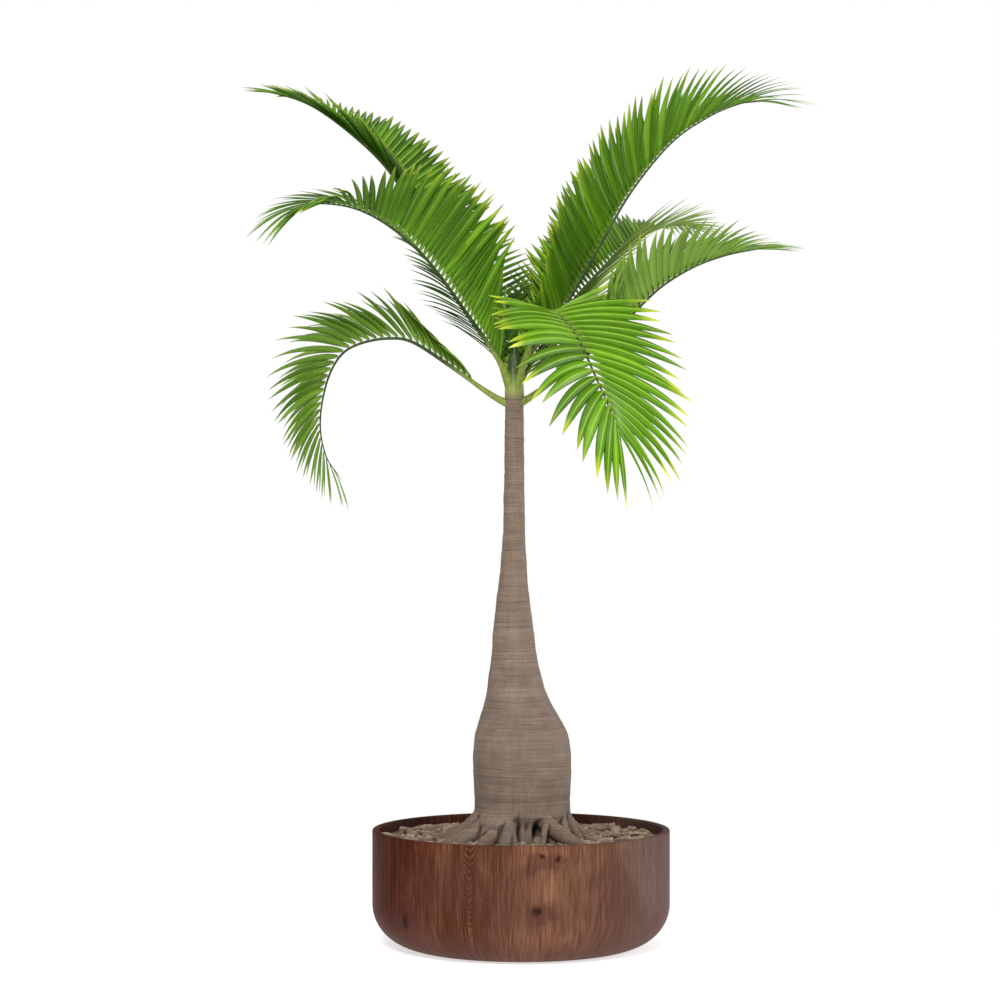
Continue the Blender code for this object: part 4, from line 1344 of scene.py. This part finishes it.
def bark_material():
    """Grey-brown palm bark: fine wavering rings, specks and worn crests, with painted shade in the
    grooves and between the roots.
    """
    p = Paint("ringed_bark")
    place = x, y, z = p.place()
    groove = p.mark("groove")
    lifted = (x, y, z + p.cloud(place, scale=9) * 0.010)
    lines = p.cloud(lifted, (9, 9, 520), detail=3, Roughness=0.6)
    bands = p.cloud(lifted, (3, 3, 48), 4.0)
    blotch = p.cloud(place, scale=34, detail=4)
    specks = p.cloud(place, (420, 420, 900), 2.0, detail=3)
    upright = p.cloud(place, (150, 150, 9), 7.0)
    tone = lines * 0.46 + bands * 0.16 + blotch * 0.20 + specks * 0.28 + upright * 0.14
    color = p.layers(
        p.ramp(tone, BARK_TONES),
        (p.span(groove, 0.10, 1.2, 0.0, 0.70), (80, 63, 51)),  # darker bark with painted shade in the rings and creases
        (p.span(groove, 1.2, 2.8, 0.0, 0.75), (50, 36, 28)),  # painted shade deep between the roots
        (p.span(z, TRUNK_TOP - 0.018, TRUNK_TOP, 0.0, 0.55), (128, 112, 84)),  # young bark
        (p.span(z, 0.192, 0.225, 0.40, 0.0), (92, 74, 60)),  # darker near the mix
    )
    p.bump(lines * 0.8 + specks * 0.35 + upright * 0.25, 0.0009, 0.55)
    return p.finish(color, p.span(specks, 0.3, 0.7, 0.86, 0.74))


def sheath_material():
    """Smooth green leaf bases, pale above the trunk and darker green at the top, partly painted
    shade under the fronds, with upright veins and rusty specks.
    """
    p = Paint("green_sheath")
    place = p.place()
    veins = p.cloud(place, (420, 420, 14), detail=3)
    patch = p.cloud(place, (60, 60, 30), 3.0)
    up = place[2] + (patch - 0.5) * 0.010
    color = p.layers(
        # Pale above the trunk, darkening to the top, where the dark green is partly painted shade
        # under the fronds.
        p.ramp(p.span(up, TRUNK_TOP - 0.001, TRUNK_TOP + 0.065), SHEATH_TONES),
        (p.span(veins, 0.42, 0.70, 0.0, 0.45), (96, 118, 48)),  # upright veins
        (p.span(patch, 0.60, 0.78, 0.0, 0.50), (124, 92, 58)),  # rusty specks
    )
    p.bump(veins, 0.0005, 0.5)
    return p.finish(color, p.span(patch, 0.3, 0.7, 0.52, 0.40))


def leaf_material():
    """Fresh palm leaf: a pale fold with a painted highlight, painted shade on the rims, a paler
    underside, and gold and painted light through some tips.
    """
    p = Paint("fresh_frond")
    place = p.place()
    along, across, under, tone, gold, rib, base, dull = (p.mark(name) for name in LEAF_MARKS)
    patch = p.cloud(place, scale=26, detail=3)
    streak = p.cloud(place, (260, 260, 40), detail=3)
    veins = p.cloud((across * 9, along * 2, tone), scale=1.6, detail=3)
    from_fold = p.math("ABSOLUTE", across)
    below = p.span(under, 0.48, 0.62)
    late = along + (patch - 0.5) * 0.20
    # The last term paints one half of each folded leaflet lighter than the other: painted light.
    shade = tone * 0.62 + patch * 0.40 + veins * 0.26 + p.span(across, -0.12, 0.12) * 0.10
    blade = p.layers(
        p.ramp(shade, LEAF_TONES),
        (dull * 0.66, (152, 176, 88)),  # the greyish ranks, partly painted light
        (dull * -0.45, (112, 168, 6)),  # painted light on the bright ranks, as if shining through them
        (p.span(from_fold, 0.04, 0.20, 0.66, 0.0), (162, 200, 78)),  # the pale fold: a paler midrib with a painted highlight along it
        (p.span(from_fold, 0.50, 1.0, 0.0, 0.60), (34, 66, 2)),  # painted shade on the rims
        (below * 0.45, (98, 146, 34)),  # the underside
        (p.span(along, 0.0, 0.10, 0.45, 0.0), (146, 170, 80)),  # pale at the midrib
        (p.span(late, 0.72, 0.98) * gold, (214, 222, 60)),  # golden towards the tip, partly painted light through the thin tips
        # painted light shining through the thinnest tips
        (p.span(late, 0.93, 1.02) * gold, (226, 220, 120)),
    )
    stalk = p.layers(
        # The midrib darkens on its underside: painted shade.
        p.ramp(streak + under * 0.25, DARK_RIB_TONES),
        (p.span(along, 0.0, 0.16, 1.0, 0.0), p.ramp(streak, PALE_RIB_TONES)),
        (p.span(streak, 0.56, 0.70, 0.0, 0.6) * base, (118, 84, 52)),  # rust at the foot
    )
    p.bump(veins * 0.5 + streak * 0.2, 0.0004, 0.5)
    gloss = p.span(patch, 0.3, 0.7, 0.42, 0.32) + below * 0.14
    return p.finish(p.layers(blade, (rib, stalk)), gloss, Specular_IOR_Level=0.20)


# The studio.


def build_floor():
    """A plain pale floor."""
    skin = Skin()
    w = FLOOR_WIDTH
    skin.ring([(x, y, -FLOOR_DROP) for x, y in ((-w, -w), (w, -w), (w, w), (-w, w))])
    skin.faces.append((0, 1, 2, 3))
    floor = make_piece("floor", skin)
    p = Paint("pale_floor")
    x, y, _ = p.place()
    far = p.span(p.math("SQRT", x * x + y * y), *FLOOR_FADE)
    glow = far * (1.0 - FLOOR_GLOW) + FLOOR_GLOW
    color = p.layers((0.9, 0.9, 0.9, 1.0), (far, (0.0, 0.0, 0.0, 1.0)))
    emission = {"Emission_Color": WHITE, "Emission_Strength": glow}
    floor.data.materials.append(p.finish(color, 0.9, Specular_IOR_Level=0.0, **emission))


def build_world():
    """White all round as seen, and dimmer as light, so that the plant keeps its shading."""
    world = bpy.data.worlds.new("studio")
    bpy.context.scene.world = world
    world.use_nodes = True
    tree = world.node_tree
    dim = tree.nodes["Background"]
    white = tree.nodes.new("ShaderNodeBackground")
    for background, strength in ((dim, WORLD_LIGHT), (white, 1.0)):
        background.inputs["Color"].default_value = WHITE
        background.inputs["Strength"].default_value = strength
    path = tree.nodes.new("ShaderNodeLightPath")
    mix = tree.nodes.new("ShaderNodeMixShader")
    tree.links.new(path.outputs["Is Camera Ray"], mix.inputs["Fac"])
    tree.links.new(dim.outputs[0], mix.inputs[1])
    tree.links.new(white.outputs[0], mix.inputs[2])
    tree.links.new(mix.outputs[0], tree.nodes["World Output"].inputs["Surface"])


def add_light(name, place, target, size, power):
    """A soft square light at a place, turned to a target."""
    light = bpy.data.lights.new(name, "AREA")
    light.shape = "SQUARE"
    light.size = size
    light.energy = power
    obj = add_object(name, light)
    obj.location = place
    obj.rotation_euler = (Vector(target) - Vector(place)).to_track_quat("-Z", "Y").to_euler()


def build_camera():
    """The camera of the photograph."""
    camera = bpy.data.cameras.new("camera")
    camera.lens = CAMERA_LENS
    camera.sensor_width = SENSOR_WIDTH
    camera.clip_end = CAMERA_REACH
    obj = add_object("camera", camera)
    obj.location = CAMERA_PLACE
    obj.rotation_euler = (math.radians(90), 0, 0)
    bpy.context.scene.camera = obj


def main():
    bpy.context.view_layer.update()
    bpy.context.scene.view_settings.view_transform = "Standard"
    build_bowl(walnut_material())
    build_soil(mix_material())
    bark = bark_material()
    build_stem(bark)
    build_roots(bark)
    build_crown(sheath_material())
    build_fronds(leaf_material())
    build_floor()
    build_world()
    for light in LIGHTS:
        add_light(*light)
    build_camera()


main()
